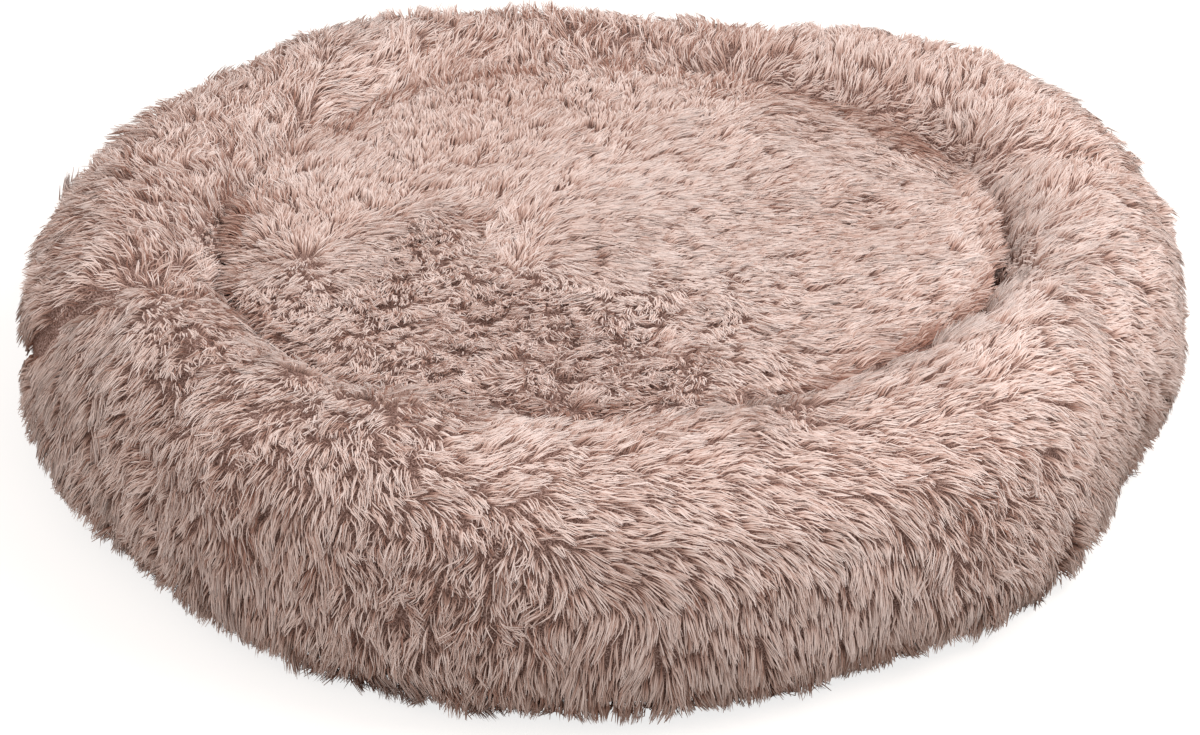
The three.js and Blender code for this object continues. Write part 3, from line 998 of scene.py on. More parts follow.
@dataclass
class FurSurface:
    """One region of fur: backing pieces and the pile that grows on them."""

    region: Region
    nodes: tuple[str, ...]
    seed: int
    voxel: float = 8 * MM
    backing_thickness: float = 18 * MM
    puff_limit: float = 4 * MM
    lump_height: float = 2.2 * MM
    lump_waves: Pair = (120 * MM, 50 * MM)
    small_lumps: float = 0.5  # height of the small ones beside the large
    puff_frames: int = 20
    tints: int = 96
    most_strands: int = 12000
    guard_share: float = 0.35
    # Where the backing thickens to its seams: a turn round the rim, and over how much; radii on the seat
    outer_end: Pair = (-32, 24)
    inner_end: Pair = (126, 16)
    seat_end: Pair = (280 * MM, 12 * MM)
    seat_end_share: float = 0.85
    pinned: Pair = (-52, 145)  # turns round the rim beyond which the seams hold the backing
    pinned_edge: float = 16 * MM  # of the seat's backing
    pinned_seam: float = 1.8  # degrees on each side of a cross seam
    backings: list = field(default_factory=list)

    def outward(self, points: np.ndarray) -> np.ndarray:
        """Rough direction away from the stuffing at each point.

        Args:
            points: places in the row frame.

        Returns:
            A unit vector for each point.
        """
        if self.region is Region.SEAT:
            return np.tile((0.0, 0.0, 1.0), (len(points), 1))
        _, angle = SHAPE.polar(points)
        return unit(points - SHAPE.placed(SHAPE.crest_radius, angle, SHAPE.rim_middle))

    def inner_faces(self, piece: Object) -> BVHTree:
        """The faces of a shell that lie against the stuffing.

        Args:
            piece: the shell.

        Returns:
            A tree of these faces.
        """
        mesh = piece.data
        points = corners_of(mesh)
        centres = np.array([face.center for face in mesh.polygons])
        normals = np.array([face.normal for face in mesh.polygons])
        facing = (self.outward(centres) * normals).sum(1)
        faces = [tuple(face.vertices) for face, side in zip(mesh.polygons, facing) if side < LEAST_INWARD]
        return BVHTree.FromPolygons([tuple(p) for p in points], faces)

    def press(self, piece: Object) -> None:
        """Presses a shell of pile down onto its inner faces to the backing, and gives it its lumps.

        Args:
            piece: the shell.
        """
        inner = self.inner_faces(piece)
        apply_modifier(piece, "REMESH", mode="VOXEL", voxel_size=self.voxel)
        points = corners_of(piece.data)
        share = np.full(len(points), self.backing_thickness / SHAPE.pile_depth)
        moved = np.zeros_like(points)
        if self.region is Region.RIM:
            turn = np.degrees(SHAPE.section_turn(points))
            (outer, outer_over), (inward, inward_over) = self.outer_end, self.inner_end
            ends = np.clip((outer - turn) / outer_over, 0, 1) + np.clip((turn - inward) / inward_over, 0, 1)
            share += (1 - share) * ends
            moved = SHAPE.bulge(points)
        else:
            start, over = self.seat_end
            share += (1 - share) * self.seat_end_share * np.clip((SHAPE.polar(points)[0] - start) / over, 0, 1)
        large, small = (wander(points, wave, self.seed + 5 + k) for k, wave in enumerate(self.lump_waves))
        lumps = self.lump_height * (large + self.small_lumps * small)
        for i, point in enumerate(points):
            near = np.array(inner.find_nearest(Vector(point))[0])
            away = point - near
            depth = min(np.linalg.norm(away) / SHAPE.pile_depth, 1)
            points[i] = near + away * (share[i] + depth * lumps[i] / SHAPE.pile_depth) + moved[i] * depth
        place_corners(piece.data, points)

    def held(self, points: np.ndarray, depths: np.ndarray) -> np.ndarray:
        """Which corners the stuffing and the seams hold still.

        Args:
            points: the backing's corners.
            depths: how far each lies in front of its inner face.

        Returns:
            True where a corner is held.
        """
        radius, angle = SHAPE.polar(points)
        inside = depths < self.backing_thickness * 0.5
        if self.region is Region.SEAT:
            return inside | (radius > SHAPE.rim_inner_radius - self.pinned_edge)
        turn = np.degrees(SHAPE.section_turn(points))
        ends = (turn < self.pinned[0]) | (turn > self.pinned[1])
        seams = sum(np.abs(SHAPE.past(angle, place)) < self.pinned_seam for place in SHAPE.seam_turns)
        return inside | ends | (seams > 0)

    def puff(self, piece: Object, inner: BVHTree) -> None:
        """Blows the backing up between its seams with a cloth simulation.

        Args:
            piece: the backing.
            inner: the shell's inner faces.
        """
        before = corners_of(piece.data)
        depths = np.array([inner.find_nearest(Vector(p))[3] for p in before])
        group = piece.vertex_groups.new(name="held")
        group.add([int(i) for i in np.nonzero(self.held(before, depths))[0]], 1.0, "REPLACE")
        cloth = piece.modifiers.new("cloth", "CLOTH")
        settings = {
            "quality": 4, "use_pressure": True, "uniform_pressure_force": 4.0, "shrink_min": -0.02,
            "vertex_group_mass": "held",
        }
        for name, value in settings.items():
            setattr(cloth.settings, name, value)
        cloth.settings.effector_weights.gravity = 0.0
        cloth.point_cache.frame_end = self.puff_frames
        for step in range(1, self.puff_frames + 1):
            bpy.context.scene.frame_set(step)
        only(piece)
        bpy.ops.object.modifier_apply(modifier=cloth.name)
        bpy.context.scene.frame_set(1)
        moved = corners_of(piece.data) - before
        far = np.linalg.norm(moved, axis=1, keepdims=True)
        place_corners(piece.data, before + moved * np.minimum(1, self.puff_limit / np.maximum(far, 1e-9)))

    def make_backings(self, material: Material) -> None:
        """Args:
            material: their material.
        """
        for node in self.nodes:
            piece = copy_of(node, f"{node}_backing")
            inner = self.inner_faces(piece)
            self.press(piece)
            self.puff(piece, inner)
            piece.data.shade_smooth()
            dressed(piece, material, (node,))
            self.backings.append(piece)

    def roots(self, rng: np.random.Generator, count: int) -> tuple[np.ndarray, np.ndarray]:
        """Scatters strand roots over the outer faces of the backings.

        Args:
            rng: the region's random numbers.
            count: how many.

        Returns:
            The roots' places and the backing's normals there.
        """
        corners, shades = [], []
        for piece in self.backings:
            mesh = piece.data
            mesh.calc_loop_triangles()
            index = values_of(mesh.loop_triangles, "vertices", 3, np.int32)
            corners.append(corners_of(mesh)[index])
            shades.append(values_of(mesh.vertices, "normal", 3).astype(float)[index])
        corners, shades = np.concatenate(corners), np.concatenate(shades)
        cross = np.cross(corners[:, 1] - corners[:, 0], corners[:, 2] - corners[:, 0])
        area = np.linalg.norm(cross, axis=1) / 2
        facing = (unit(cross) * self.outward(corners.mean(1))).sum(1)
        area[facing < LEAST_OUTWARD] = 0
        pick = rng.choice(len(area), size=count, p=area / area.sum())
        a, b = np.sqrt(rng.random(count)), rng.random(count)
        mix = np.stack([1 - a, a * (1 - b), a * b], axis=1)[:, :, None]
        LOG.info("%s: fur area %.3f m2", self.region.value, area.sum())
        return (corners[pick] * mix).sum(1), unit((shades[pick] * mix).sum(1))

    def plain_comb(self, points: np.ndarray) -> np.ndarray:
        """Direction of the fur where no stroke reaches: outwards, and down by its weight.

        Args:
            points: places in the row frame.

        Returns:
            A direction for each point.
        """
        _, angle = SHAPE.polar(points)
        out = np.stack([np.cos(angle), np.sin(angle), np.zeros(len(points))], axis=1)
        if self.region is Region.RIM:
            return out * HABIT.outwards - (0, 0, HABIT.downwards)
        return out

    def comb(self, points: np.ndarray, normals: np.ndarray) -> tuple[np.ndarray, np.ndarray]:
        """Direction in which the fur lies at each root.

        Args:
            points: the roots.
            normals: the backing's normals there.

        Returns:
            Unit vectors along the backing, and how far the hair strays from them, in degrees.
        """
        right, up, forward = (np.array(v) for v in STUDIO.axes())
        seen, visible = STUDIO.pixels(points), self.visible(normals)
        lean = np.minimum(normals @ forward, LEAST_INWARD)[:, None]
        total = self.plain_comb(points) * HABIT.plain_weight
        total -= normals * (total * normals).sum(1, keepdims=True)
        weights = np.full(len(points), HABIT.plain_weight)
        mess = HABIT.plain_mess * weights
        for stroke in STROKES:
            weight = stroke.near(seen, stroke.reach) * visible
            turn = math.radians(stroke.turn)
            flat = math.cos(turn) * right + math.sin(turn) * up
            lying = flat - forward * (normals @ flat)[:, None] / lean
            lying -= normals * (lying * normals).sum(1, keepdims=True)
            total += unit(lying) * weight[:, None]
            mess += stroke.mess * weight
            weights += weight
        return unit(total), mess / weights

    def nearest(self, points: np.ndarray, centres: np.ndarray) -> np.ndarray:
        """Index of the nearest centre to each point.

        Args:
            points: places.
            centres: places to choose from.

        Returns:
            The indices.
        """
        tree = KDTree(len(centres))
        for i, centre in enumerate(centres):
            tree.insert(centre, i)
        tree.balance()
        return np.array([tree.find(p)[1] for p in points])

    def visible(self, normals: np.ndarray) -> np.ndarray:
        """How far each place faces the camera: 1 where it does, 0 just beyond the bed's outline."""
        return np.clip((FADE_START - normals @ np.array(STUDIO.axes()[2])) / FADE_OVER, 0, 1)

    def depth_of_parting(self, points: np.ndarray, normals: np.ndarray) -> np.ndarray:
        """How deep in a parting each place is: 1 in a plain one's middle.

        Args:
            points: places in the row frame.
            normals: the backing's normals there.

        Returns:
            The depths.
        """
        seen, deep = STUDIO.pixels(points), np.zeros(len(points))
        for parting in PARTINGS:
            deep = np.maximum(deep, parting.depth * parting.near(seen, parting.size))
        return deep * self.visible(normals)

    def shade_of_place(self, points: np.ndarray) -> np.ndarray:
        """How far painted shade lowers the fur's tint in the seat's crease and just above the floor, and how
        far the patches of painted shade and painted sheen lower and raise it.

        Args:
            points: places in the row frame.

        Returns:
            How far the tint drops at each point.
        """
        height, seen = points[:, 2], STUDIO.pixels(points)
        away = (SHAPE.polar(points)[0] - SHAPE.rim_inner_radius) / CREASE_WIDTH
        crease = np.exp(-away * away) * (height > SHAPE.rim_middle)
        low = sum(share * np.clip(1 - height / top, 0, 1) for share, top in zip(LOW_SHADES, LOW_HEIGHTS))
        crease *= CREASE_SHADE + CREASE_WAVE * wander(points, CREASE_WAVELENGTH, self.seed + 9)
        return crease + LOW_SHADE * low + sum(painted_shade.shade * painted_shade.near(seen, painted_shade.size) for painted_shade in PAINTED_SHADES)

    def strands(self, rng: np.random.Generator) -> Strands:
        """Grows every strand of the region.

        Args:
            rng: the region's random numbers.

        Returns:
            The strands.
        """
        pile = PILES[self.region]
        points, normals = self.roots(rng, pile.strands)
        lying, mess = self.comb(points, normals)
        mess = np.radians(mess)
        tousled = np.degrees(mess)
        loose = HABIT.loose_smooth + tousled / HABIT.mess_of_loose
        locks, wisps = (
            rng.choice(len(points), int(pile.area / size**2), replace=False)
            for size in (pile.lock, pile.wisp)
        )
        lock, wisp = self.nearest(points, points[locks]), self.nearest(points, points[wisps])
        groups = {
            "strand": (len(points), slice(None)), "lock": (len(locks), lock), "wisp": (len(wisps), wisp),
        }

        def odd(group: str = "strand") -> np.ndarray:
            """A random share for each strand, the same one within a lock or a wisp.

            Args:
                group: strand, lock or wisp.

            Returns:
                One share for each strand.
            """
            count, member = groups[group]
            return rng.normal(size=count)[member]

        far, near = (
            HABIT.sway_share * wander(points, wave, self.seed + k) for k, wave in enumerate(HABIT.sway_waves)
        )
        turn = HABIT.turn_share * mess + np.radians(HABIT.turn_loose) * loose
        swing = mess * (far + near) + (turn * odd("wisp") + turn * odd("lock"))
        curl = mess * HABIT.curl_share * odd("lock") + np.radians(HABIT.curl_loose) * loose * odd("wisp")
        grow = 1 + HABIT.grow[0] * odd("lock") + HABIT.grow[1] * odd("wisp")
        parting = self.depth_of_parting(points, normals)
        cut = np.maximum(1 - HABIT.parting_drop * parting, HABIT.parting_least)
        grow *= (HABIT.grow_smooth - HABIT.grow_drop * loose) * cut
        length = pile.length * np.clip(grow, *HABIT.grow_limits)
        lift = pile.lift_root + MESS_LIFT * tousled
        lift += loose**HABIT.lift_power * (HABIT.lift[0] * odd("lock") + HABIT.lift[1] * odd("wisp"))
        tip = pile.lift_tip + MESS_TIP * tousled
        middle = self.grown(points, normals, lying, swing, curl, length, lift, tip)
        stray = self.grown(
            points, normals, lying, swing + np.radians(HABIT.turn_loose) * loose * odd(),
            curl + np.radians(HABIT.stray_curl) * loose * odd(), length * (1 + HABIT.stray_length * odd()),
            lift + HABIT.stray_lift * loose * odd(), tip,
        )
        share = np.array(STRAND_STOPS)[None, :, None] ** HABIT.join_power
        joined = stray + (middle[wisps][wisp] - stray) * share * pile.wisp_share
        to_lock = pile.lock_share * rng.uniform(*HABIT.join_spread, len(points))
        joined += (middle[locks][lock] - joined) * share * to_lock[:, None, None]
        for step in range(1, len(STRAND_STOPS)):
            crossing = self.depth_of_parting(joined[:, step], normals) > OPEN_PARTING
            root = joined[crossing, :1]
            joined[crossing] = root + (joined[crossing] - root) * HABIT.parting_keep
        least, most = HABIT.off_floor
        joined[:, :, 2] = np.maximum(joined[:, :, 2], (least + most * rng.random((len(points), 1))) * MM)
        width = pile.width * rng.uniform(*HABIT.width_spread, len(points))
        of_strand, of_wisp, of_lock = HABIT.tint
        tint = of_strand * odd() + of_wisp * odd("wisp") + of_lock * odd("lock")
        wave, wavelength = HABIT.tint_wave
        tint = HABIT.tint_middle + np.clip(TINT_FALL + (1 - TINT_FALL) * loose, *HABIT.tint_scale) * tint
        tint += wave * wander(points, wavelength, self.seed + 2)
        # Painted shade lowers the tint in partings, in the seat's crease, just above the floor and at the
        # patches
        tint -= HABIT.parting_painted_shade * parting + self.shade_of_place(points)
        soft = np.clip(SOFTNESS - SOFTNESS_FALL * loose, *SOFTNESS_LIMITS)
        return Strands(joined, normals, width, np.clip(tint, 0, 0.999), soft)

    def grown(self, points: np.ndarray, normals: np.ndarray, lying: np.ndarray, swing: np.ndarray,
              curl: np.ndarray, length: np.ndarray, lift: np.ndarray, tip: np.ndarray) -> np.ndarray:
        """Follows strands from their roots.

        Args:
            points: the roots.
            normals: the backing's normals.
            lying: the combed directions.
            swing: turn of each strand off the combed direction, in radians.
            curl: how far each turns on towards its tip, in radians.
            length: each strand's length.
            lift: each strand's slope at its root, in degrees.
            tip: its slope at its tip.

        Returns:
            Points of each strand from root to tip.
        """
        place, side, bends = points, np.cross(normals, lying), HABIT.bends
        line = [place]
        for step in range(bends):
            t = (step + 0.5) / bends
            slope = np.radians(lift * (1 - t) ** HABIT.lift_fade + tip * t)
            turn = swing + curl * (t - HABIT.curl_start)
            ahead = lying * np.cos(turn)[:, None] + side * np.sin(turn)[:, None]
            move = ahead * np.cos(slope)[:, None] + normals * np.sin(slope)[:, None]
            move[:, 2] -= HABIT.droop * t * t
            place = place + unit(move) * (length / bends)[:, None]
            if round((step + 1) / bends, 3) in STRAND_STOPS:
                line.append(place)
        return np.stack(line, axis=1)

    def strand_mesh(self, name: str, strands: Strands, blunt: bool) -> Mesh:
        """Makes slim three-sided strands, pointed at the hidden root.

        Args:
            name: the mesh's name.
            strands: the strands.
            blunt: whether the tips are blunt, as those of the guard coat, or pointed too.

        Returns:
            The mesh, with its map of tint and place along the strand.
        """
        line, normals = strands.line, strands.normals
        count, steps = line.shape[0], line.shape[1] - 1
        rings = steps if blunt else steps - 1
        along = unit(np.gradient(line, axis=1))
        side = unit(np.cross(along, normals[:, None, :] + 1e-4))
        over = np.cross(along, side)
        radius = (strands.width / TRIANGLE)[:, None] * np.array(STRAND_SWELL[:rings])[None, :]
        turns = 2 * math.pi * np.arange(3) / 3 + math.pi / 2
        ringed = slice(1, rings + 1)
        round_it = side[:, ringed, None] * np.cos(turns)[:, None]
        round_it = round_it + over[:, ringed, None] * np.sin(turns)[:, None]
        body = (line[:, ringed, None] + round_it * radius[:, :, None, None]).reshape(count, rings * 3, 3)
        surface = unit(normals + self.outward(line[:, 0]))[:, None]
        ends = line.shape[1] if blunt else -1
        corners = np.concatenate([line[:, :1], body, line[:, ends:]], axis=1)
        leaning = [surface, round_it.reshape(count, rings * 3, 3)] + [surface] * (not blunt)
        leaning = np.concatenate(leaning, axis=1)
        per = corners.shape[1]
        soft = strands.soft[:, None, None]
        shade = unit(surface * soft + leaning * (1 - soft))
        facing = (shade * leaning).sum(2, keepdims=True)
        shade = unit(shade + leaning * np.maximum(0, LEAST_FACING - facing))
        around = [(k, (k + 1) % 3) for k in range(3)]
        faces = [((1 + b, 1 + a, 0), (1, 1, 0), (1, 0, 0.5)) for a, b in around]
        faces += [
            ((at + a, at + b, at + 3 + b, at + 3 + a), (j, j, j + 1, j + 1), (0, 1, 1, 0))
            for j, at in ((j, 3 * j - 2) for j in range(1, rings)) for a, b in around
        ]
        last = rings * 3 - 2
        caps = [(last, last + 1, last + 2)] if blunt else [(last + a, last + b, last + 3) for a, b in around]
        faces += [(cap, (rings, rings, steps - TIP_INSET), (0, 1, 0.5)) for cap in caps]
        loops, ups, sides = (np.concatenate([face[part] for face in faces]) for part in range(3))
        *starts, at = np.cumsum([0] + [len(face[0]) for face in faces])
        mesh = bpy.data.meshes.new(name)
        mesh.vertices.add(count * per)
        mesh.vertices.foreach_set("co", corners.astype(np.float32).ravel())
        mesh.loops.add(count * at)
        every = (np.arange(count) * per)[:, None] + loops[None, :]
        mesh.loops.foreach_set("vertex_index", every.astype(np.int32).ravel())
        mesh.polygons.add(count * len(starts))
        begins = (np.arange(count) * at)[:, None] + np.array(starts)[None, :]
        mesh.polygons.foreach_set("loop_start", begins.astype(np.int32).ravel())
        slot = np.floor(strands.tint * self.tints)
        u = (slot[:, None] + TINT_EDGES[0] + TINT_EDGES[1] * sides[None, :]) / self.tints
        place = np.interp(ups, range(steps + 1), STRAND_STOPS)
        v = np.broadcast_to(LENGTH_EDGES[0] + LENGTH_EDGES[1] * place[None, :], u.shape)
        layer = mesh.uv_layers.new(name="OFBake")
        layer.data.foreach_set("uv", np.stack([u, v], axis=2).astype(np.float32).ravel())
        mesh.update(calc_edges=True)
        mesh.shade_smooth()
        mesh.normals_split_custom_set_from_vertices(shade.reshape(-1, 3))
        return mesh

    def grow(self, material: Material) -> None:
        """Grows the region's pile as pieces of at most most_strands strands each, the guard and the under coat
        apart. Grows the region's pile as pieces that each stay small enough to export.

        Args:
            material: the strands' material.
        """
        rng = np.random.default_rng(self.seed)
        strands = self.strands(rng)
        _, angle = SHAPE.polar(strands.line[:, 0])
        order = np.argsort(angle)
        guard = rng.random(len(order)) < self.guard_share * (1.5 - strands.soft)
        for coat, hairs in (("guard", order[guard[order]]), ("under", order[~guard[order]])):
            for number, part in enumerate(np.array_split(hairs, -(-len(hairs) // self.most_strands))):
                name = f"{self.region.value}_{coat}_pile_{number:02d}"
                piece = new_piece(name, self.strand_mesh(name, strands.part(part), coat == "guard"))
                piece.visible_shadow = coat == "guard"
                dressed(piece, material)


# Base


def repeated(shape: Object, name: str, places: np.ndarray, turns: np.ndarray) -> Object:
    """Copies a small modelled shape to many places, in one mesh, and removes the shape.

    Args:
        shape: the shape, about the origin.
        name: the new piece's name.
        places: where each copy goes.
        turns: each copy's turn about the vertical, in radians.

    Returns:
        The new piece.
    """
    points = corners_of(shape.data)
    faces = [tuple(face.vertices) for face in shape.data.polygons]
    x = points[None, :, 0] * np.cos(turns)[:, None] - points[None, :, 1] * np.sin(turns)[:, None]
    y = points[None, :, 0] * np.sin(turns)[:, None] + points[None, :, 1] * np.cos(turns)[:, None]
    z = np.broadcast_to(points[None, :, 2], x.shape)
    every = np.stack([x, y, z], axis=2) + places[:, None, :]
    mesh = bpy.data.meshes.new(name)
    step = len(points)
    mesh.from_pydata(
        every.reshape(-1, 3).tolist(), [],
        [tuple(at * step + corner for corner in face) for at in range(len(places)) for face in faces],
    )
    bpy.data.objects.remove(shape, do_unlink=True)
    mesh.shade_smooth()
    return new_piece(name, mesh)


def stitch(length: float, width: float) -> Object:
    """One stitch of thread, about the origin along X.

    Args:
        length: along the seam.
        width: across it.

    Returns:
        The stitch's shape.
    """
    shape = take_up("uv_sphere", segments=5, ring_count=4, radius=0.5)
    points = corners_of(shape.data)
    place_corners(shape.data, points[:, [2, 1, 0]] * (-length, width, width))
    return shape


@dataclass
class BaseCover:
    """The base of the cover: two half discs of coated cloth with printed dots, bound round the edge."""

    edge_radius: float = 402.6 * MM
    underside: float = 0.8 * MM
    top: float = 5.9 * MM
    voxel: float = 6 * MM
    stretch: float = 3.0  # the cloth is drawn this much thicker while it is rounded
    ripple: float = 0.45 * MM
    ripple_length: float = 90 * MM
    dot_pitch: float = 14 * MM
    dot_radius: float = 1.7 * MM
    dot_inset: float = 0.4  # share of its radius that is rounded off
    dot_heights: Pair = (0.7, 0.3)  # of its side and of its crown, in shares of its height
    dot_margin: float = 12 * MM
    zip_clearance: float = 16 * MM
    binding_radius: float = 406 * MM
    binding_half_width: float = 3 * MM
    binding_heights: Pair = (0.7 * MM, 4.1 * MM)
    binding_steps: int = 288
    binding_squareness: float = 0.55  # power that turns the round section into a flat band's
    binding_pucker: float = 0.25 * MM
    binding_pucker_steps: int = 3
    seam_margin: float = 3 * MM
    stitch_pitch: float = 4.6 * MM
    stitch_length: float = 3.5 * MM
    stitch_width: float = 0.75 * MM
    zip_half_length: float = 271 * MM
    zip_row: float = 8.6 * MM

    def lowest(self, points: np.ndarray) -> np.ndarray:
        """Height of the cloth's underside, which ripples up a little between its seams."""
        return self.underside + self.ripple * np.clip(wander(points * (1, 1, 0), self.ripple_length, 41), 0, 1)

    def make_cloth(self, node: str, name: str, material: Material) -> None:
        """Makes one half disc from its node: rounded edges and a slight ripple.

        Args:
            node: the CAD node.
            name: the piece's name.
            material: its cloth.
        """
        piece = copy_of(node, name)
        place_corners(piece.data, corners_of(piece.data) * (1, 1, self.stretch))
        apply_modifier(piece, "REMESH", mode="VOXEL", voxel_size=self.voxel)
        points = corners_of(piece.data)
        low, high = points[:, 2].min(), points[:, 2].max()
        share = (points[:, 2] - low) / (high - low)
        floor = self.lowest(points)
        points[:, 2] = floor + (self.top - floor) * share
        place_corners(piece.data, points)
        piece.data.shade_smooth()
        dressed(piece, material, (node,))

    def make_dots(self, material: Material) -> None:
        """Prints the dots in staggered rows over the base, clear of the zip and the edge.

        Args:
            material: their material.
        """
        side, crown = self.dot_heights
        shape = take_up("cylinder", vertices=6, radius=self.dot_radius, depth=self.underside * side)
        bpy.ops.object.mode_set(mode="EDIT")
        bpy.ops.mesh.select_mode(type="FACE")
        bpy.ops.mesh.select_all(action="DESELECT")
        bpy.ops.object.mode_set(mode="OBJECT")
        for face in shape.data.polygons:
            face.select = face.normal.z < -0.9
        bpy.ops.object.mode_set(mode="EDIT")
        bpy.ops.mesh.inset(thickness=self.dot_radius * self.dot_inset, depth=self.underside * crown)
        bpy.ops.object.mode_set(mode="OBJECT")
        points = corners_of(shape.data)
        place_corners(shape.data, points - (0, 0, points[:, 2].min() + self.underside))
        reach = int(SHAPE.bed_radius / self.dot_pitch) + 1
        row, column = (grid.ravel() for grid in np.mgrid[-reach : reach + 1, -reach : reach + 1])
        places = np.stack([
            (column + 0.5 * (row % 2)) * self.dot_pitch, row * self.dot_pitch * math.sqrt(0.75), row * 0.0,
        ], axis=1)
        radius, _ = SHAPE.polar(places)
        across = places - (*SHAPE.centre, 0)
        x, y = np.abs(across[:, 0]), np.abs(across[:, 1])
        by_zip = (y < self.zip_clearance) & (x < self.zip_half_length + self.dot_margin)
        places = places[(radius < self.edge_radius - self.dot_margin) & ~by_zip]
        places[:, 2] = self.lowest(places)
        dots = repeated(shape, "base_anti_slip_dots", places, np.zeros(len(places)))
        dressed(dots, material)

    def make_binding(self, material: Material) -> None:
        """Folds the binding round the base's edge: a flat rounded band along the bed's outline.

        Args:
            material: its cloth.
        """
        ring = take_up("torus", major_radius=self.binding_radius, minor_radius=self.binding_half_width,
                       major_segments=self.binding_steps, minor_segments=12)
        points = corners_of(ring.data)
        low, high = self.binding_heights
        angle, radius = np.arctan2(points[:, 1], points[:, 0]), np.hypot(points[:, 0], points[:, 1])
        across = (radius - self.binding_radius) / self.binding_half_width
        up = points[:, 2] / self.binding_half_width
        across, up = (np.sign(part) * np.abs(part) ** self.binding_squareness for part in (across, up))
        pucker = self.binding_pucker * np.sin(angle * self.binding_steps / self.binding_pucker_steps)
        reach = self.binding_radius + across * self.binding_half_width + pucker * (across > 0.5)
        place_corners(ring.data, SHAPE.laid(reach, angle, (low + high) / 2 + up * (high - low) / 2))
        ring.name = ring.data.name = "base_edge_binding"
        ring.data.shade_smooth()
        dressed(ring, material, ("base_binding",))

    def make_stitches(self, material: Material) -> None:
        """Sews the binding on with two rows of stitches, and the base to the zip with one row all round it.

        Args:
            material: their thread.
        """
        places, turns = [], []
        inner = self.edge_radius - self.seam_margin
        for radius, height in ((self.binding_radius, self.binding_heights[0]), (inner, self.underside)):
            count = round(2 * math.pi * radius / self.stitch_pitch)
            angle = np.arange(count) * 2 * math.pi / count
            row = SHAPE.laid(radius, angle, height)
            places.append(row)
            ahead = np.roll(row, -1, axis=0) - np.roll(row, 1, axis=0)
            turns.append(np.arctan2(ahead[:, 1], ahead[:, 0]))
        half = self.zip_half_length + self.seam_margin
        along = np.arange(-half, half, self.stitch_pitch)
        for side in (-1, 1):
            row = np.stack([along, np.full(len(along), side * self.zip_row), along * 0], axis=1)
            end = np.arange(-self.zip_row + self.stitch_pitch / 2, self.zip_row, self.stitch_pitch)
            short = np.stack([np.full(len(end), side * (half + self.stitch_pitch / 2)), end, end * 0], axis=1)
            for part, turn in ((row, 0.0), (short, math.pi / 2)):
                part = part + (*SHAPE.centre, 0)
                part[:, 2] = self.lowest(part)
                places.append(part)
                turns.append(np.full(len(part), turn))
        shape = stitch(self.stitch_length, self.stitch_width)
        piece = repeated(shape, "base_stitches", np.concatenate(places), np.concatenate(turns))
        dressed(piece, material)

    def build(self) -> None:
        """Makes the whole base."""
        cloth = OXFORD.material()
        self.make_cloth("base_panel_front", "base_front_cloth", cloth)
        self.make_cloth("base_panel_rear", "base_rear_cloth", cloth)
        self.make_dots(PVC_DOTS.material())
        self.make_binding(BINDING.material())
        self.make_stitches(THREAD.material())


# Zip


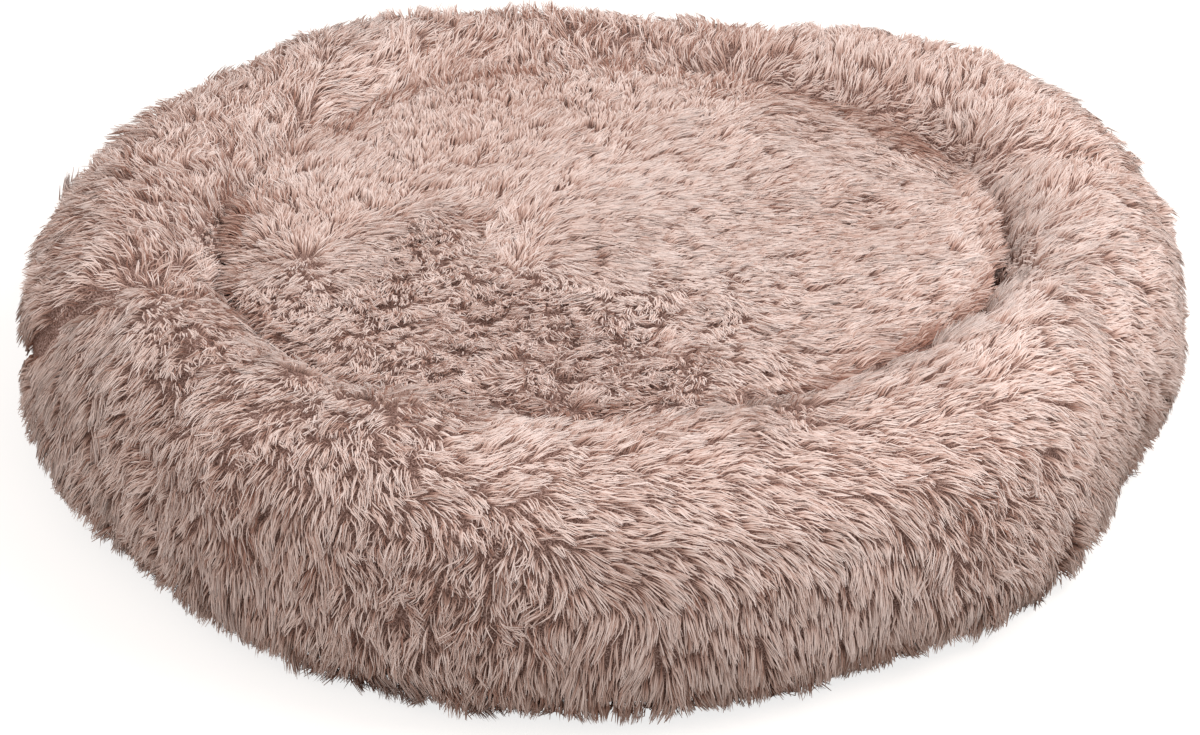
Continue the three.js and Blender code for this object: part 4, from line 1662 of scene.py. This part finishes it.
@dataclass
class Zip:
    """The zip: two woven tapes, each with half of the coil sewn to its edge, the stops, slider and pull."""

    half_length: float = 245 * MM
    tape_half_length: float = 265 * MM
    tape_across: Pair = (1.6 * MM, 14.6 * MM)
    tape_heights: Pair = (6.4 * MM, 7.0 * MM)
    soft_edge: float = 0.18 * MM
    coil_across: Pair = (0.15 * MM, 3.4 * MM)
    coil_heights: Pair = (4.3 * MM, 6.1 * MM)
    coil_end: float = 240.2 * MM
    loop_pitch: float = 1.5 * MM
    wire: float = 0.62 * MM
    loop_lean: float = 0.22 * MM
    sewing_across: float = 2.5 * MM
    sewing_pitch: float = 3.0 * MM
    sewing_sink: float = 0.1 * MM
    sewing_stitch: Pair = (2.6 * MM, 0.5 * MM)
    tab_reach: Pair = (249 * MM, 275 * MM)
    tab_across: float = 15 * MM
    tab_heights: Pair = (6.0 * MM, 6.35 * MM)

    def strip(self, name: str, ends: tuple, across: tuple, heights: tuple) -> Object:
        """Makes a flat strip of tape with soft edges.

        Args:
            name: the piece's name.
            ends: its two ends along the zip.
            across: its two edges across the zip.
            heights: its two faces.

        Returns:
            The strip.
        """
        low, high = np.sort((ends, across, heights), axis=1).T
        piece = take_up("cube", size=1)
        points = corners_of(piece.data) * (high - low) + (low + high) / 2
        place_corners(piece.data, points + (*SHAPE.centre, 0))
        piece.name = piece.data.name = name
        apply_modifier(piece, "BEVEL", width=self.soft_edge, segments=2, limit_method="ANGLE")
        return piece

    def make_end_tab(self, name: str, side: int, material: Material) -> None:
        """Makes the short tape that is sewn across both tapes beyond one end of the coil.

        Args:
            name: the piece's name.
            side: 1 at the closed end, -1 at the other.
            material: its cloth.
        """
        near, far = self.tab_reach
        half = self.tab_across / 2
        tab = self.strip(name, (side * near, side * far), (-half, half), self.tab_heights)
        dressed(tab, material)

    def make_tape(self, side: str, sign: int, material: Material) -> None:
        """Makes one tape as a flat woven strip with soft edges.

        Args:
            side: front or rear, as the nodes say.
            sign: -1 or 1 for these.
            material: its cloth.
        """
        near, far = self.tape_across
        reach = (-self.tape_half_length, self.tape_half_length)
        tape = self.strip(f"zip_{side}_tape", reach, (sign * near, sign * far), self.tape_heights)
        dressed(tape, material, (f"zip_tape_{side}",))

    def make_coil(self, side: str, sign: int, material: Material, thread: Material) -> None:
        """Winds one half of the coil, loop by loop, and sews it down.

        Args:
            side: front or rear, as the nodes say.
            sign: -1 or 1 for these.
            material: the wire's material.
            thread: the sewing's material.
        """
        near, far = self.coil_across
        low, high = self.coil_heights
        thick = 0.3  # of the plain ring's wire, before it gets the coil's
        loop = take_up("torus", major_radius=1, minor_radius=thick, major_segments=8, minor_segments=3)
        points = corners_of(loop.data)
        size = np.array(((far - near) / 2, (high - low) / 2))
        ring = np.hypot(points[:, 0], points[:, 1])[:, None]
        heart = points[:, :2] / ring
        out = (ring - 1) / thick * self.wire / 2
        flat = heart * (size - self.wire / 2) + heart * out
        lean = self.loop_lean * np.sign(heart[:, 0])
        along = points[:, 2] / thick * self.wire / 2 + lean
        place_corners(loop.data, np.stack([along, flat[:, 0], flat[:, 1]], axis=1))
        start = -self.half_length + self.wire
        count = int((self.coil_end - start) / self.loop_pitch)
        x = start + (np.arange(count) + 0.5 * (sign > 0)) * self.loop_pitch
        y = np.full(count, sign * (near + far) / 2)
        places = np.stack([x, y, np.full(count, (low + high) / 2)], axis=1) + (*SHAPE.centre, 0)
        piece = repeated(loop, f"zip_{side}_coil", places, np.full(count, 0.0 if sign > 0 else math.pi))
        dressed(piece, material, (f"zip_coil_{side}",))
        x = np.arange(start + self.sewing_pitch, self.coil_end, self.sewing_pitch)
        places = np.stack([x, x * 0 + sign * self.sewing_across, x * 0 + low + self.sewing_sink], axis=1)
        sewing = repeated(
            stitch(*self.sewing_stitch), f"zip_{side}_coil_sewing", places + (*SHAPE.centre, 0), x * 0,
        )
        dressed(sewing, thread)

    def dress_metal(self, material: Material) -> None:
        """Gives the metal pieces their plating and takes the sharpness off their edges.

        Args:
            material: the plating.
        """
        widths = {
            "zip_slider": 0.22 * MM, "zip_pull": 0.25 * MM, "zip_bottom_stop": 0.3 * MM,
            "zip_top_stop_front": 0.4 * MM, "zip_top_stop_rear": 0.4 * MM,
        }
        for node, width in widths.items():
            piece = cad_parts[node]
            for place in piece.material_slots:
                place.material = material
            piece.modifiers.new("merge", "WELD").merge_threshold = MERGE
            bevel = piece.modifiers.new("edges", "BEVEL")
            bevel.width, bevel.segments, bevel.limit_method = width, 2, "ANGLE"
            bevel.harden_normals = False
            LOG.info("%s: edges eased by %.2f mm", node, width / MM)

    def build(self) -> None:
        """Makes the whole zip."""
        tape, nylon, thread = ZIP_TAPE.material(), NYLON.material(), THREAD.material()
        for side, sign in (("front", -1), ("rear", 1)):
            self.make_tape(side, sign, tape)
            self.make_coil(side, sign, nylon, thread)
        self.make_end_tab("zip_closed_end_tab", 1, tape)
        self.make_end_tab("zip_open_end_tab", -1, tape)
        self.dress_metal(NICKEL.material())


# Liner and filling


@dataclass
class Liner:
    """The thin inner bag with a rim chamber and a seat chamber, and the fibre in each."""

    wrinkle: float = 0.24 * MM
    wrinkle_length: float = 50 * MM
    wall_top: float = 124 * MM
    voxel: float = 12 * MM
    lumps: float = 5 * MM
    cuts: dict = field(default_factory=lambda: {
        "liner_rim_top": ("liner_rim_cloth", 2.6, 0.52, "stretched"),
        "liner_chamber_wall": ("liner_dividing_wall", 1.9, 0.16, "stretched"),
        "liner_seat_top": ("liner_seat_cloth", 0.66, 0.66, "stretched"),
        "liner_base": ("liner_base_cloth", 0.86, 0.86, "laid"),
    })

    def make_cloth(self, node: str, material: Material) -> None:
        """Makes one panel of the bag, with small wrinkles.

        Args:
            node: the CAD node.
            material: its cloth.
        """
        name, length, width, held = self.cuts[node]
        piece = copy_of(node, name)
        with editing(piece):
            bpy.ops.mesh.subdivide(number_cuts=2)
        points = corners_of(piece.data)
        points[:, 2] = np.minimum(points[:, 2], self.wall_top if node == "liner_chamber_wall" else np.inf)
        ways = [wander(points, self.wrinkle_length, 61 + axis) for axis in range(3)]
        points += self.wrinkle * np.stack(ways, axis=1)
        place_corners(piece.data, points)
        piece.data.shade_smooth()
        dressed(piece, material, (node,))

    def make_filling(self, node: str, name: str, material: Material, seed: int) -> None:
        """Fills one chamber with lumpy fibre that keeps inside its walls.

        Args:
            node: the CAD node.
            name: the piece's name.
            material: the fibre.
            seed: which lumps.
        """
        piece = copy_of(node, name)
        apply_modifier(piece, "REMESH", mode="VOXEL", voxel_size=self.voxel)
        points = corners_of(piece.data)
        normals = values_of(piece.data.vertices, "normal", 3)
        sink = self.lumps * (0.5 + 0.3 * wander(points, 0.08, seed) + 0.2 * wander(points, 0.03, seed + 1))
        place_corners(piece.data, points - normals * np.clip(sink, 0, None)[:, None])
        piece.data.shade_smooth()
        dressed(piece, material, (node,))

    def build(self) -> None:
        """Makes the bag and its filling."""
        cloth, fibre = SpunbondCloth().material(), FIBRE.material()
        for node in self.cuts:
            self.make_cloth(node, cloth)
        self.make_filling("rim_filling", "rim_fibre_filling", fibre, 71)
        self.make_filling("seat_filling", "seat_fibre_filling", fibre, 81)


# Assembly


def main() -> None:
    """Builds the studio and every piece of the bed."""
    logging.basicConfig(level=logging.INFO, format="%(name)s %(message)s")
    STUDIO.build()
    BaseCover().build()
    Zip().build()
    Liner().build()
    backing = Underfur().material()
    pile = AcrylicPile().material()
    rim = FurSurface(Region.RIM, ("rim_fur_panel_front", "rim_fur_panel_rear"), seed=11)
    seat = FurSurface(Region.SEAT, ("seat_fur_panel",), seed=23)
    for surface in (rim, seat):
        surface.make_backings(backing)
        surface.grow(pile)


if __name__ == "__main__":
    main()
